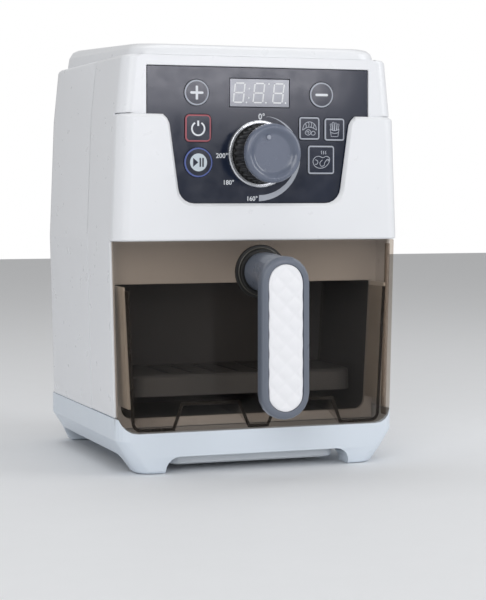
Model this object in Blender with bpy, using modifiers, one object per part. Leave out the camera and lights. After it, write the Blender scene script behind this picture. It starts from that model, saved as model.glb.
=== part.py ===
"""Toy air fryer: a pretend counter-top fryer with a smoky drawer, a grill tray, a dial and seven keys.

Metres, +Z up, front towards -Y. The origin lies on the floor, under the middle of the whole toy.
Depths are measured back from the front plane, the face of the drawer and of the control panel.
"""

import math

import bmesh
import bpy
from mathutils import Matrix, Vector


def mix(low, high, share):
    return low + (high - low) * share


# Overall sizes of the body
BODY_DEPTH = 0.165
HANDLE_REACH = 0.041
FRONT_Y = (HANDLE_REACH - BODY_DEPTH) / 2

# Battery bay under the base, which sets the height of the base's deck
COVER_BOTTOM = 0.0032
DOOR_THICK = 0.0018
CELL_RADIUS = 0.00725
CELL_HEAD_ROOM = 0.0007
DECK_THICK = 0.0024

# Heights, each stage standing on the one below
BASE_TOP = COVER_BOTTOM + DOOR_THICK + CELL_RADIUS + CELL_RADIUS + CELL_HEAD_ROOM + DECK_THICK
BASE_UPSTAND = 0.0079
DRAWER_LIFT = 0.0004
DRAWER_HEIGHT = 0.1057
SHROUD_HEIGHT = 0.0708
HEAD_HEIGHT = 0.0328
CAP_FRONT_HEIGHT = 0.0062
CAP_RISE = 0.0065
BASE_SIDE_TOP = BASE_TOP + BASE_UPSTAND
DRAWER_BOTTOM = BASE_TOP + DRAWER_LIFT
DRAWER_TOP = DRAWER_BOTTOM + DRAWER_HEIGHT
SHROUD_TOP = DRAWER_TOP + SHROUD_HEIGHT
HOUSING_TOP = SHROUD_TOP + HEAD_HEIGHT
CAP_FRONT_TOP = HOUSING_TOP + CAP_FRONT_HEIGHT
CAP_REAR_TOP = CAP_FRONT_TOP + CAP_RISE

# Half widths of the body: widest at the drawer's top, drawn in by a taper at the other heights
MID_HALF = 0.0852
LOW_TAPER = 0.0030
UPPER_TAPER = 0.0025
TOP_TAPER = 0.0032
LOW_HALF = MID_HALF - LOW_TAPER
UPPER_HALF = MID_HALF - UPPER_TAPER
TOP_HALF = UPPER_HALF - TOP_TAPER

# Walls, gaps and the overrun of every cut
WALL = 0.0024
FRONT_WALL = 0.0044
SEAT_GAP = 0.0003
RUN_GAP = 0.0007
CUT_OVERRUN = 0.004
CORNER_FRONT = 0.008
CORNER_REAR = 0.020
SEAM_DEPTH = 0.058
RIM_DEPTH = 0.010

# Screws, all of one size
SCREW_RADIUS = 0.0013
SCREW_HEAD_RADIUS = 0.0026
SCREW_HEAD_HEIGHT = 0.0016
SCREW_CLEARANCE = 0.0003

# Cavity behind the drawer
BULKHEAD_DEPTH = 0.0235
BULKHEAD_THICK = 0.0024
LINER_WALL = 0.0013
LINER_LIFT = 0.0057
LINER_DROP = 0.0247
LINER_FLOOR = BASE_TOP + LINER_LIFT
LINER_CEILING = DRAWER_TOP - LINER_DROP
LINER_CORNER = 0.006

# Drawer
DRAWER_THICK = 0.0024
DRAWER_INSET = 0.0010
DRAWER_CORNER = 0.010
BUCKET_THICK = 0.0018
BUCKET_RIM_ROOM = 0.0025
BUCKET_SIDE_ROOM = 0.0078
BUCKET_TAPER = 0.0034
BUCKET_TOP = LINER_CEILING - BUCKET_RIM_ROOM
BUCKET_TOP_HALF = MID_HALF - BUCKET_SIDE_ROOM
BUCKET_LOW_HALF = BUCKET_TOP_HALF - BUCKET_TAPER
BUCKET_BACK_DEPTH = 0.0917
PAD_INNER_SHARE = 0.155
PAD_OUTER_SHARE = 0.603
PAD_INNER_HALF = BUCKET_LOW_HALF * PAD_INNER_SHARE
PAD_OUTER_HALF = BUCKET_LOW_HALF * PAD_OUTER_SHARE
PAD_LIFT = 0.0154
PAD_TOP = BASE_TOP + PAD_LIFT
BUCKET_LOW_Z = PAD_TOP
DRAWER_BACK_THICK = 0.0020

# Shroud cut and control panel, and what the panel carries
CUT_RISE = 0.0211
CUT_BOTTOM = DRAWER_TOP + CUT_RISE
PANEL_DEPTH = 0.0004
PANEL_THICK = 0.0022
PANEL_HEAD_ROOM = 0.0061
PANEL_SIDE_ROOM = 0.0130
PANEL_STEP = 0.0085
PANEL_SHOULDER_DROP = 0.0032
PANEL_TUCK = 0.0033
PANEL_TOP = HOUSING_TOP - PANEL_HEAD_ROOM
PANEL_HALF = TOP_HALF - PANEL_SIDE_ROOM
PANEL_SHOULDER = SHROUD_TOP - PANEL_SHOULDER_DROP
PANEL_LOWER_HALF = PANEL_HALF - PANEL_STEP
PANEL_BOTTOM = CUT_BOTTOM - PANEL_TUCK
PANEL_LEDGE = 0.0025
BOARD_GAP = 0.0046
BOARD_THICK = 0.0016
DIAL_SHARE = 0.3915
DIAL_Z = mix(PANEL_BOTTOM, PANEL_TOP, DIAL_SHARE)
KEY_TRAVEL = 0.0009
KEY_PROUD = 0.0006
KEY_CLEARANCE = 0.0003

# Underside
SKIRT_BOTTOM = 0.0092
FOOT_DRAW_IN = 0.0112
FOOT_WIDTH = 0.0160
FOOT_OUTER_HALF = LOW_HALF - FOOT_DRAW_IN
FOOT_INNER_HALF = FOOT_OUTER_HALF - FOOT_WIDTH
COVER_SIDE_ROOM = 0.0055
COVER_END_ROOM = 0.010
COVER_HALF = FOOT_INNER_HALF - COVER_SIDE_ROOM
COVER_FRONT_DEPTH = COVER_END_ROOM
COVER_REAR_DEPTH = BODY_DEPTH - COVER_END_ROOM
COVER_WALL = 0.0020
BASE_SCREW_INSET = 0.0085
BASE_SCREW_FRONT_ROOM = 0.0066
BASE_SCREW_REAR_ROOM = 0.025
BASE_SCREW_HALF = COVER_HALF - BASE_SCREW_INSET
BASE_SCREW_DEPTHS = (
    BULKHEAD_DEPTH + BULKHEAD_THICK + BASE_SCREW_FRONT_ROOM,
    BODY_DEPTH - BASE_SCREW_REAR_ROOM,
)
CELL_LENGTH = 0.0505
CELL_SIDE_ROOM = 0.0007
CELL_PITCH = CELL_RADIUS + CELL_RADIUS + CELL_SIDE_ROOM
CELL_COUNT = 3
BATTERY_FORWARD = 0.0025
BATTERY_DEPTH = BODY_DEPTH / 2 - BATTERY_FORWARD

CORNER_STEPS = 5
ROUND_STEPS = 24
MERGE_DISTANCE = 0.000001
FLAT_ANGLE = math.radians(0.1)


def clear_scene():
    for item in list(bpy.data.objects):
        bpy.data.objects.remove(item, do_unlink=True)


def new_collection(name):
    collection = bpy.data.collections.new(name)
    bpy.context.scene.collection.children.link(collection)
    return collection


clear_scene()
PARTS = new_collection("toy_air_fryer")
CUTTERS = new_collection("cutters")


def plastic(name, colour, roughness=0.35, metallic=0.0, clear=0.0):
    """A Principled material; clear is the share of light that passes through."""
    material = bpy.data.materials.new(name)
    material.use_nodes = True
    shader = material.node_tree.nodes["Principled BSDF"]
    shader.inputs["Base Color"].default_value = (*colour, 1.0)
    shader.inputs["Roughness"].default_value = roughness
    shader.inputs["Metallic"].default_value = metallic
    shader.inputs["Transmission Weight"].default_value = clear
    return material


WHITE = (0.86, 0.87, 0.89)
SLATE = (0.20, 0.21, 0.26)
PANEL_NAVY = (0.035, 0.042, 0.065)
SMOKE = (0.16, 0.12, 0.10)
DARK = (0.03, 0.03, 0.032)
GREY = (0.33, 0.32, 0.33)
SILVER = (0.72, 0.73, 0.75)
BOARD_GREEN = (0.03, 0.17, 0.08)
STEEL = (0.60, 0.60, 0.62)


def depth_y(depth):
    """World Y of a depth behind the front plane."""
    return FRONT_Y + depth


def half_width(z):
    """Half width of the body's side at a height."""
    levels = (
        (BASE_TOP, LOW_HALF),
        (DRAWER_TOP, MID_HALF),
        (SHROUD_TOP, UPPER_HALF),
        (HOUSING_TOP, TOP_HALF),
    )
    for (z_low, low), (z_high, high) in zip(levels, levels[1:]):
        if z <= z_high:
            break
    return mix(low, high, (z - z_low) / (z_high - z_low))


def bucket_half(z):
    """Outer half width of the bucket's side wall at a height."""
    share = (z - BUCKET_LOW_Z) / (BUCKET_TOP - BUCKET_LOW_Z)
    return mix(BUCKET_LOW_HALF, BUCKET_TOP_HALF, share)


def corner(centre, radius, start, turn, steps=CORNER_STEPS):
    """Points of an arc in the plane, angles in quarter turns."""
    points = []
    for step in range(steps + 1):
        angle = (start + turn * step / steps) * math.pi / 2
        points.append(
            (centre[0] + radius * math.cos(angle), centre[1] + radius * math.sin(angle))
        )
    return points


def rounded_box_outline(left, right, low, high, radii, steps=CORNER_STEPS):
    """Anticlockwise outline; radii are of the low left, low right, high right and high left corners."""
    low_left, low_right, high_right, high_left = radii
    return (
        corner((left + low_left, low + low_left), low_left, 2, 1, steps)
        + corner((right - low_right, low + low_right), low_right, 3, 1, steps)
        + corner((right - high_right, high - high_right), high_right, 0, 1, steps)
        + corner((left + high_left, high - high_left), high_left, 1, 1, steps)
    )


def finish(mesh, name, material, collection=None, smooth=True):
    """Link a mesh as a named object with its material."""
    item = bpy.data.objects.new(name, mesh)
    (collection or PARTS).objects.link(item)
    if material:
        mesh.materials.clear()
        mesh.materials.append(material)
    if smooth:
        mesh.shade_smooth()
        mesh.set_sharp_from_angle(angle=math.radians(35))
    return item


def as_cutter(item):
    """Move an object among the cutters and hide it from renders."""
    for holder in list(item.users_collection):
        holder.objects.unlink(item)
    CUTTERS.objects.link(item)
    item.hide_render = True
    item.display_type = "WIRE"
    return item


def mesh_from(bm, name):
    bmesh.ops.remove_doubles(bm, verts=bm.verts, dist=MERGE_DISTANCE)
    bmesh.ops.recalc_face_normals(bm, faces=bm.faces)
    mesh = bpy.data.meshes.new(name)
    bm.to_mesh(mesh)
    bm.free()
    return mesh


def loft(name, rings, material=None):
    """A closed solid through rings of equal count, capped at both ends."""
    bm = bmesh.new()
    rows = [[bm.verts.new(point) for point in ring] for ring in rings]
    count = len(rings[0])
    for low, high in zip(rows, rows[1:]):
        for index in range(count):
            after = (index + 1) % count
            bm.faces.new((low[index], low[after], high[after], high[index]))
    bm.faces.new(rows[0][::-1])
    bm.faces.new(rows[-1])
    return finish(mesh_from(bm, name), name, material)


def front_plate(name, outlines, near, far, material=None):
    """An outline in the front view (X, Z), with any holes, filled between two depths."""
    curve = bpy.data.curves.new(name, "CURVE")
    curve.dimensions = "2D"
    curve.fill_mode = "BOTH"
    curve.extrude = (far - near) / 2
    for outline in outlines:
        spline = curve.splines.new("POLY")
        spline.points.add(len(outline) - 1)
        for point, place in zip(spline.points, outline):
            point.co = (place[0], place[1], 0.0, 1.0)
        spline.use_cyclic_u = True
    holder = bpy.data.objects.new(name + "_curve", curve)
    bpy.context.scene.collection.objects.link(holder)
    holder.matrix_world = Matrix.Translation((0, depth_y((near + far) / 2), 0)) @ Matrix.Rotation(
        math.pi / 2, 4, "X"
    )
    bpy.context.view_layer.update()
    evaluated = holder.evaluated_get(bpy.context.evaluated_depsgraph_get())
    mesh = bpy.data.meshes.new_from_object(evaluated)
    mesh.transform(holder.matrix_world)
    bpy.data.objects.remove(holder, do_unlink=True)
    bm = bmesh.new()
    bm.from_mesh(mesh)
    bpy.data.meshes.remove(mesh)
    bmesh.ops.remove_doubles(bm, verts=bm.verts, dist=MERGE_DISTANCE)
    if len(outlines) == 1:
        bmesh.ops.dissolve_limit(
            bm, angle_limit=FLAT_ANGLE, verts=bm.verts, edges=bm.edges
        )
    return finish(mesh_from(bm, name), name, material)


def block(name, x_range, depth_range, z_range, material=None, bevel=0.0):
    """A box between two X values, two depths and two heights, its edges bevelled if asked."""
    bm = bmesh.new()
    bmesh.ops.create_cube(bm, size=1)
    size = Vector(
        (x_range[1] - x_range[0], depth_range[1] - depth_range[0], z_range[1] - z_range[0])
    )
    middle = Vector((sum(x_range) / 2, depth_y(sum(depth_range) / 2), sum(z_range) / 2))
    bmesh.ops.scale(bm, vec=size, verts=bm.verts)
    bmesh.ops.translate(bm, vec=middle, verts=bm.verts)
    item = finish(mesh_from(bm, name), name, material)
    if bevel:
        edge = item.modifiers.new("edges", "BEVEL")
        edge.width = bevel
        edge.segments = 2
    return item


def rod(name, radius, place, axis, length, material=None, steps=ROUND_STEPS, far_radius=None):
    """A round bar that starts at a place and runs along an axis, tapering if far_radius is given."""
    bm = bmesh.new()
    direction = Vector(axis).normalized()
    turn = Vector((0, 0, 1)).rotation_difference(direction).to_matrix().to_4x4()
    middle = Vector(place) + direction * length / 2
    bmesh.ops.create_cone(
        bm,
        cap_ends=True,
        segments=steps,
        radius1=radius,
        radius2=radius if far_radius is None else far_radius,
        depth=length,
        matrix=Matrix.Translation(middle) @ turn,
    )
    return finish(mesh_from(bm, name), name, material)


def turned(name, profile, place, axis, material, steps=ROUND_STEPS):
    """A turned solid; the profile of (radius, height) runs from the top down its outer side."""
    bm = bmesh.new()
    points = [bm.verts.new((radius, 0, height)) for radius, height in profile]
    for first, second in zip(points, points[1:]):
        bm.edges.new((first, second))
    mesh = bpy.data.meshes.new(name)
    bm.to_mesh(mesh)
    bm.free()
    item = finish(mesh, name, material, smooth=False)
    item.location = place
    item.rotation_mode = "QUATERNION"
    item.rotation_quaternion = Vector((0, 0, 1)).rotation_difference(Vector(axis))
    spin = item.modifiers.new("spin", "SCREW")
    spin.steps = steps
    spin.render_steps = steps
    spin.use_merge_vertices = True
    spin.merge_threshold = MERGE_DISTANCE
    spin.use_smooth_shade = True
    return item


def combine(target, others, operation):
    for other in others:
        as_cutter(other)
        joined = target.modifiers.new(operation.lower(), "BOOLEAN")
        joined.operation = operation
        joined.object = other
        joined.solver = "EXACT"
    return target


def cut(target, *cutters):
    return combine(target, cutters, "DIFFERENCE")


def unite(target, *others):
    return combine(target, others, "UNION")


def plan_ring(z, half, near, far, front_radius, rear_radius):
    """A rounded outline in plan at one height, as world points."""
    outline = rounded_box_outline(
        -half, half, depth_y(near), depth_y(far), (front_radius, front_radius, rear_radius, rear_radius)
    )
    return [(x, y, z) for x, y in outline]


def body_rings(heights, inset, near, far, front_radius, rear_radius):
    """Plan rings of the body's outer shape, drawn in by an inset at each height; the front stays upright."""
    rings = []
    for z, draw_in in heights:
        total = inset + draw_in
        rings.append(
            plan_ring(
                z,
                half_width(z) - total,
                near,
                far - draw_in,
                front_radius,
                rear_radius,
            )
        )
    return rings


# Housing: the outer and inner forms that both half shells share

TOP_EDGE = 0.0022
HOUSING_BOTTOM = BASE_SIDE_TOP + SEAT_GAP


def housing_form(name, inset, near, far, bottom, top):
    """The body's form from a bottom to a top height, its top edge rounded."""
    edge = TOP_EDGE - min(inset, TOP_EDGE / 2)
    heights = [(bottom, 0.0), (DRAWER_TOP, 0.0), (SHROUD_TOP, 0.0), (top - edge, 0.0)]
    for step in (1, 2, 3):
        angle = step * math.pi / 6
        heights.append((top - edge + edge * math.sin(angle), edge * (1 - math.cos(angle))))
    front_radius = max(CORNER_FRONT - inset, WALL)
    rear_radius = max(CORNER_REAR - inset, WALL)
    return loft(name, body_rings(heights, inset, near, far, front_radius, rear_radius))


def housing_shell(name, material):
    """The whole wall of the housing, open below."""
    shell = housing_form(name, 0.0, 0.0, BODY_DEPTH, HOUSING_BOTTOM, HOUSING_TOP)
    shell.data.materials.append(material)
    hollow = housing_form(
        name + "_hollow",
        WALL,
        FRONT_WALL,
        BODY_DEPTH - WALL,
        HOUSING_BOTTOM - CUT_OVERRUN,
        HOUSING_TOP - WALL,
    )
    return cut(shell, hollow)


def base_inside_half():
    """Half width of the room between the base's side upstands."""
    return half_width(BASE_TOP) - WALL


def outer_box(name, near, far, low, high):
    """A cutter as wide as the body and more, between two depths and two heights."""
    reach = MID_HALF + CUT_OVERRUN
    return block(name, (-reach, reach), (near, far), (low, high))


def rear_post_places():
    """Where the long screw posts of the two half shells stand: side, height."""
    upper = (TOP_HALF - POST_INSET, HOUSING_TOP - POST_DROP)
    lower = (MID_HALF - POST_INSET, LINER_CEILING + POST_LIFT)
    return [(side * half, z) for half, z in (lower, upper) for side in (-1, 1)]


POST_RADIUS = 0.0042
POST_INSET = 0.0170
POST_DROP = 0.0148
POST_LIFT = 0.0120
POST_PILOT_LENGTH = 0.012
SCREW_LENGTH = 0.016


def panel_outline(grow=0.0):
    """The control panel's outline: a wide head over a narrower body with round lower corners."""
    low_round = 0.010
    neck_round = 0.003
    shoulder_fall = 0.0008
    right = [
        (PANEL_LOWER_HALF - low_round, PANEL_BOTTOM - grow),
        *corner(
            (PANEL_LOWER_HALF - low_round, PANEL_BOTTOM + low_round), low_round + grow, 3, 1
        )[1:],
        (PANEL_LOWER_HALF + grow, PANEL_SHOULDER - neck_round),
        (PANEL_LOWER_HALF + neck_round, PANEL_SHOULDER - grow),
        (PANEL_HALF + grow, PANEL_SHOULDER - shoulder_fall - grow),
        (PANEL_HALF + grow, PANEL_TOP + grow),
    ]
    left = [(-x, z) for x, z in reversed(right)]
    return right + left


def liner_outline(grow=0.0):
    """The cavity's outline round the bucket: tapered sides, round lower corners, a flat ceiling."""
    low = LINER_FLOOR - grow
    high = LINER_CEILING + grow
    radius = LINER_CORNER + grow
    low_half = bucket_half(low + radius) + RUN_GAP + grow
    high_half = bucket_half(high) + RUN_GAP + grow
    right = [
        *corner((low_half - radius, low + radius), radius, 3, 1),
        (high_half, high),
    ]
    left = [(-x, z) for x, z in reversed(right)]
    return right + left


def make_front_housing():
    """The front half shell with the panel's seat, the bulkhead round the cavity and its screw posts."""
    material = plastic("housing_white", WHITE, 0.3)
    shell = housing_shell("front_housing", material)
    far = SEAM_DEPTH - SEAT_GAP / 2
    shelf_low = DRAWER_TOP + SEAT_GAP * 2
    inner_half = half_width(shelf_low) - WALL / 2
    back = BULKHEAD_DEPTH + BULKHEAD_THICK
    shelf = block(
        "shelf", (-inner_half, inner_half), (FRONT_WALL / 2, back), (shelf_low, shelf_low + WALL)
    )
    floor_z = BASE_TOP + SEAT_GAP
    overlap = WALL / 2
    low_inside = base_inside_half() - SEAT_GAP
    sides = [
        (low_inside, floor_z),
        (low_inside, HOUSING_BOTTOM + overlap),
        (half_width(HOUSING_BOTTOM) - overlap, HOUSING_BOTTOM + overlap),
        (half_width(shelf_low) - overlap, shelf_low + overlap),
    ]
    outline = sides + [(-x, z) for x, z in reversed(sides)]
    bulkhead = front_plate("bulkhead", [outline, liner_outline()], BULKHEAD_DEPTH, back)
    unite(shell, shelf, bulkhead)
    tab_half = 0.006
    tab_top = LINER_FLOOR - LINER_WALL - SEAT_GAP
    tab_reach = BASE_SCREW_DEPTHS[0] + tab_half
    for side in (-1, 1):
        middle = side * BASE_SCREW_HALF
        unite(
            shell,
            block(
                "front_tab",
                (middle - tab_half, middle + tab_half),
                (back - BULKHEAD_THICK / 2, tab_reach),
                (floor_z, tab_top),
            ),
        )
    for x, z in rear_post_places():
        start = FRONT_WALL / 2 if z > shelf_low else BULKHEAD_DEPTH + BULKHEAD_THICK / 2
        unite(shell, rod("front_post", POST_RADIUS, (x, depth_y(start), z), (0, 1, 0), far - start))
    big = BODY_DEPTH + CUT_OVERRUN
    cut(shell, outer_box("behind_seam", far, big, -CUT_OVERRUN, CAP_REAR_TOP))
    reach = MID_HALF + CUT_OVERRUN
    cut(
        shell,
        outer_box(
            "drawer_front_space", -CUT_OVERRUN, RIM_DEPTH + SEAT_GAP, BASE_TOP - CUT_OVERRUN, shelf_low
        ),
    )
    ledge_depth = PANEL_DEPTH + PANEL_THICK + SEAT_GAP
    cut(
        shell,
        front_plate("panel_seat", [panel_outline(SEAT_GAP)], -CUT_OVERRUN, ledge_depth),
        front_plate(
            "panel_window", [panel_outline(-PANEL_LEDGE)], -CUT_OVERRUN, FRONT_WALL + CUT_OVERRUN
        ),
    )
    rebate = block(
        "shroud_rebate",
        (-reach, reach),
        (-CUT_OVERRUN, RIM_DEPTH + SEAT_GAP),
        (shelf_low - CUT_OVERRUN, SHROUD_TOP + SEAT_GAP),
    )
    cut(rebate, shroud_core("housing_core", 0.0, CUT_OVERRUN))
    cut(shell, rebate)
    for x, z in rear_post_places():
        hole = SCREW_RADIUS + SCREW_CLEARANCE
        start = (x, depth_y(far - POST_PILOT_LENGTH), z)
        cut(shell, rod("front_pilot", hole, start, (0, 1, 0), POST_PILOT_LENGTH + CUT_OVERRUN))
    for side in (-1, 1):
        cut(shell, base_screw_hole("front_tab_hole", side, BASE_SCREW_DEPTHS[0]))
    return shell


def base_screw_hole(name, side, depth):
    """The clearance hole of one upright base screw."""
    radius = SCREW_RADIUS + SCREW_CLEARANCE
    place = (side * BASE_SCREW_HALF, depth_y(depth), COVER_BOTTOM + CUT_OVERRUN)
    return rod(name, radius, place, (0, 0, 1), LINER_FLOOR + CUT_OVERRUN - COVER_BOTTOM)


def make_rear_housing():
    """The rear half shell with the deep screw wells, the speaker grille and the floor tabs."""
    material = plastic("housing_white_rear", WHITE, 0.32)
    shell = housing_shell("rear_housing", material)
    near = SEAM_DEPTH + SEAT_GAP / 2
    floor_z = BASE_TOP + SEAT_GAP
    tab_half = 0.006
    tab_top = HOUSING_BOTTOM + WALL
    inside = BODY_DEPTH - WALL
    for side in (-1, 1):
        middle = side * BASE_SCREW_HALF
        tab = block(
            "rear_tab",
            (middle - tab_half, middle + tab_half),
            (BASE_SCREW_DEPTHS[1] - tab_half, inside - SEAT_GAP),
            (floor_z, tab_top),
        )
        web = block(
            "rear_tab_web",
            (middle - tab_half, middle + tab_half),
            (BASE_SCREW_DEPTHS[1], inside + WALL / 2),
            (HOUSING_BOTTOM, tab_top + WALL),
        )
        unite(shell, tab, web)
    for x, z in rear_post_places():
        length = inside + WALL / 2 - near
        unite(shell, rod("rear_post", POST_RADIUS, (x, depth_y(near), z), (0, 1, 0), length))
    cut(shell, outer_box("before_seam", -CUT_OVERRUN, near, -CUT_OVERRUN, CAP_REAR_TOP))
    for x, z in rear_post_places():
        hole = SCREW_RADIUS + SCREW_CLEARANCE
        well = SCREW_HEAD_RADIUS + SCREW_CLEARANCE
        start = (x, depth_y(near - CUT_OVERRUN), z)
        well_start = (x, depth_y(rear_screw_head_depth()), z)
        cut(
            shell,
            rod("rear_pilot", hole, start, (0, 1, 0), SCREW_LENGTH + CUT_OVERRUN, steps=16),
            rod(
                "rear_well",
                well,
                well_start,
                (0, 1, 0),
                BODY_DEPTH - rear_screw_head_depth() + CUT_OVERRUN,
                steps=16,
            ),
        )
    for x, z in grille_places():
        start = (x, depth_y(inside - CUT_OVERRUN), z)
        cut(
            shell,
            rod("grille_hole", GRILLE_HOLE, start, (0, 1, 0), WALL + 2 * CUT_OVERRUN, steps=10),
        )
    for side in (-1, 1):
        cut(shell, base_screw_hole("rear_tab_hole", side, BASE_SCREW_DEPTHS[1]))
    return shell


def rear_screw_head_depth():
    """Depth of the shoulder that a rear screw's head pulls against."""
    return SEAM_DEPTH + POST_PILOT_LENGTH / 2


GRILLE_HOLE = 0.0013
GRILLE_PITCH = 0.0052
SPEAKER_SHARE = 0.555
SPEAKER_Z = mix(DRAWER_TOP, SHROUD_TOP, SPEAKER_SHARE)


def grille_places():
    """Speaker holes in rings round one in the middle."""
    places = [(0.0, SPEAKER_Z)]
    for ring in (1, 2):
        for index in range(6 * ring):
            angle = index * math.tau / (6 * ring)
            radius = ring * GRILLE_PITCH
            places.append((radius * math.cos(angle), SPEAKER_Z + radius * math.sin(angle)))
    return places


def screw(name, place, axis, length=SCREW_LENGTH):
    """A pan-head screw; place is the seat of its head, axis points from tip to head."""
    chamfer = SCREW_RADIUS / 2
    profile = [
        (0.0, SCREW_HEAD_HEIGHT),
        (SCREW_HEAD_RADIUS - chamfer, SCREW_HEAD_HEIGHT),
        (SCREW_HEAD_RADIUS, SCREW_HEAD_HEIGHT - chamfer),
        (SCREW_HEAD_RADIUS, 0.0),
        (SCREW_RADIUS, 0.0),
        (SCREW_RADIUS, -length + SCREW_RADIUS),
        (0.0, -length),
    ]
    return turned(name, profile, place, axis, plastic("steel_" + name, STEEL, 0.3, 1.0), steps=12)


def make_rear_screws():
    seat = depth_y(rear_screw_head_depth() + SEAT_GAP)
    for index, (x, z) in enumerate(rear_post_places(), start=1):
        screw(f"rear_screw_{index}", (x, seat, z), (0, 1, 0))


# Shroud: the apron that wraps the front corners and frames the lower half of the panel

SHROUD_THICK = 0.0022
SHROUD_PROUD = 0.0030
SHROUD_FLARE = 0.0006
SHROUD_EDGE = 0.0016
CUT_SIDE_ROOM = 0.0050
CUT_SHOULDER = 0.0080
CUT_TAPER = 0.0046
CUT_HALF_TOP = PANEL_HALF - CUT_SIDE_ROOM
CUT_HALF_WAIST = CUT_HALF_TOP - CUT_SHOULDER
CUT_HALF_LOW = CUT_HALF_WAIST - CUT_TAPER
CUT_LIP = 0.0016


def shroud_core(name, grow, overrun=0.0):
    """The stepped-in front of the housing that the shroud fits over."""
    step = SHROUD_THICK + SEAT_GAP - grow
    low = DRAWER_TOP - overrun
    high = SHROUD_TOP + overrun
    radius = CORNER_FRONT - step
    far = RIM_DEPTH + CORNER_REAR
    rings = [
        plan_ring(z, half_width(z) - step, -grow, far, radius, radius)
        for z in (low, high)
    ]
    return loft(name, rings)


def panel_cut_outline(grow=0.0):
    """The U-shaped cut of the shroud: wide at the top, a shoulder on each side, round lower corners."""
    shoulder_radius = CUT_HALF_TOP - CUT_HALF_WAIST
    shoulder_z = SHROUD_TOP - shoulder_radius
    low_radius = 0.0095
    low_half = CUT_HALF_LOW + grow
    bottom = CUT_BOTTOM - grow
    turn_share = 0.94
    right = [
        *corner((low_half - low_radius, bottom + low_radius), low_radius, 3, turn_share),
        (CUT_HALF_WAIST + grow, shoulder_z),
        *corner(
            (CUT_HALF_TOP + SHROUD_EDGE, shoulder_z), shoulder_radius + SHROUD_EDGE - grow, 2, -1
        )[1:],
        (CUT_HALF_TOP + SHROUD_EDGE, SHROUD_TOP + CUT_OVERRUN),
    ]
    left = [(-x, z) for x, z in reversed(right)]
    return right + left


def shroud_rings():
    """Plan rings of the shroud's outside, its top and bottom edges eased."""
    heights = [
        (DRAWER_TOP + SEAT_GAP, SHROUD_EDGE / 2),
        (DRAWER_TOP + SEAT_GAP + SHROUD_EDGE / 2, 0.0),
        (SHROUD_TOP - SHROUD_EDGE, 0.0),
        (SHROUD_TOP, SHROUD_EDGE),
    ]
    rings = []
    for z, ease in heights:
        half = half_width(z) + SHROUD_FLARE - ease
        near = ease - SHROUD_PROUD
        radius = CORNER_FRONT + SHROUD_FLARE
        rings.append(plan_ring(z, half, near, RIM_DEPTH + CORNER_REAR, radius, radius))
    return rings


def make_front_shroud():
    material = plastic("shroud_white", WHITE, 0.25)
    shroud = loft("front_shroud", shroud_rings(), material)
    far = RIM_DEPTH
    cut(shroud, shroud_core("shroud_hollow", SEAT_GAP, CUT_OVERRUN))
    cut(
        shroud,
        outer_box(
            "shroud_back", far, far + CORNER_REAR + CUT_OVERRUN, BASE_TOP, HOUSING_TOP
        ),
    )
    near = -SHROUD_PROUD - CUT_OVERRUN
    window = front_plate(
        "shroud_window", [panel_cut_outline()], near, PANEL_DEPTH
    )
    outer = [
        (x, depth_y(near), z) for x, z in panel_cut_outline(CUT_LIP + CUT_OVERRUN)
    ]
    inner = [
        (x, depth_y(CUT_LIP - SHROUD_PROUD), z) for x, z in panel_cut_outline()
    ]
    lip = loft("shroud_lip", [outer, inner])
    return cut(shroud, window, lip)


# Cap: the hood on top, its top face falling towards the front

CAP_SIDE_STEP = 0.0054
CAP_HALF = TOP_HALF - CAP_SIDE_STEP
CAP_EDGE_SHARE = 0.84
CAP_EDGE = CAP_FRONT_HEIGHT * CAP_EDGE_SHARE
CAP_REAR_INSET = 0.008
CAP_CORNER = 0.014
CAP_WALL = 0.0022


def cap_ring(z_share, ease, inset=0.0):
    """One ring of the cap: z_share runs from the foot to the sloping top."""
    foot = HOUSING_TOP + SEAT_GAP
    near = ease + inset
    far = BODY_DEPTH - CAP_REAR_INSET - ease - inset
    radius = max(CAP_CORNER - inset, CAP_EDGE)
    half = CAP_HALF - ease - inset
    points = []
    for x, y, _ in plan_ring(foot, half, near, far, radius, radius):
        back_share = (y - depth_y(0)) / (BODY_DEPTH - CAP_REAR_INSET)
        top = mix(CAP_FRONT_TOP, CAP_REAR_TOP, back_share) - inset
        points.append((x, y, mix(foot, top, z_share)))
    return points


def make_top_cap():
    material = plastic("cap_white", WHITE, 0.28)
    rise = CAP_FRONT_TOP - HOUSING_TOP
    edge_share = CAP_EDGE / rise
    rings = [cap_ring(0.0, 0.0)]
    for step in range(4):
        angle = step * math.pi / 6
        z_share = 1 - edge_share * (1 - math.sin(angle))
        rings.append(cap_ring(z_share, CAP_EDGE * (1 - math.cos(angle))))
    cap = loft("top_cap", rings, material)
    hollow_foot = [(x, y, z - CUT_OVERRUN) for x, y, z in cap_ring(0.0, 0.0, CAP_WALL)]
    hollow_rings = [
        hollow_foot,
        cap_ring(1 - edge_share, 0.0, CAP_WALL),
        cap_ring(1.0, CAP_EDGE / 2, CAP_WALL),
    ]
    return cut(cap, loft("cap_hollow", hollow_rings))


# Base: a plinth with an upstand, sloping sides, and arches that leave four feet

BASE_FLARE = 0.0010
SLOPE_DROP = 0.0038
SLOPE_TOP = BASE_TOP - SLOPE_DROP
FOOT_LENGTH = 0.0160
FOOT_SETBACK = 0.0020
FOOT_EDGE = 0.0012
ARCH_ROUND = 0.0080
FOOT_ROOM = 0.0020


def base_half(z):
    """Half width of the base: upright above the slope, drawn in towards the floor below it."""
    full = half_width(BASE_TOP) + BASE_FLARE
    if z >= SLOPE_TOP:
        return full
    return mix(FOOT_OUTER_HALF, full, z / SLOPE_TOP)


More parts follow.
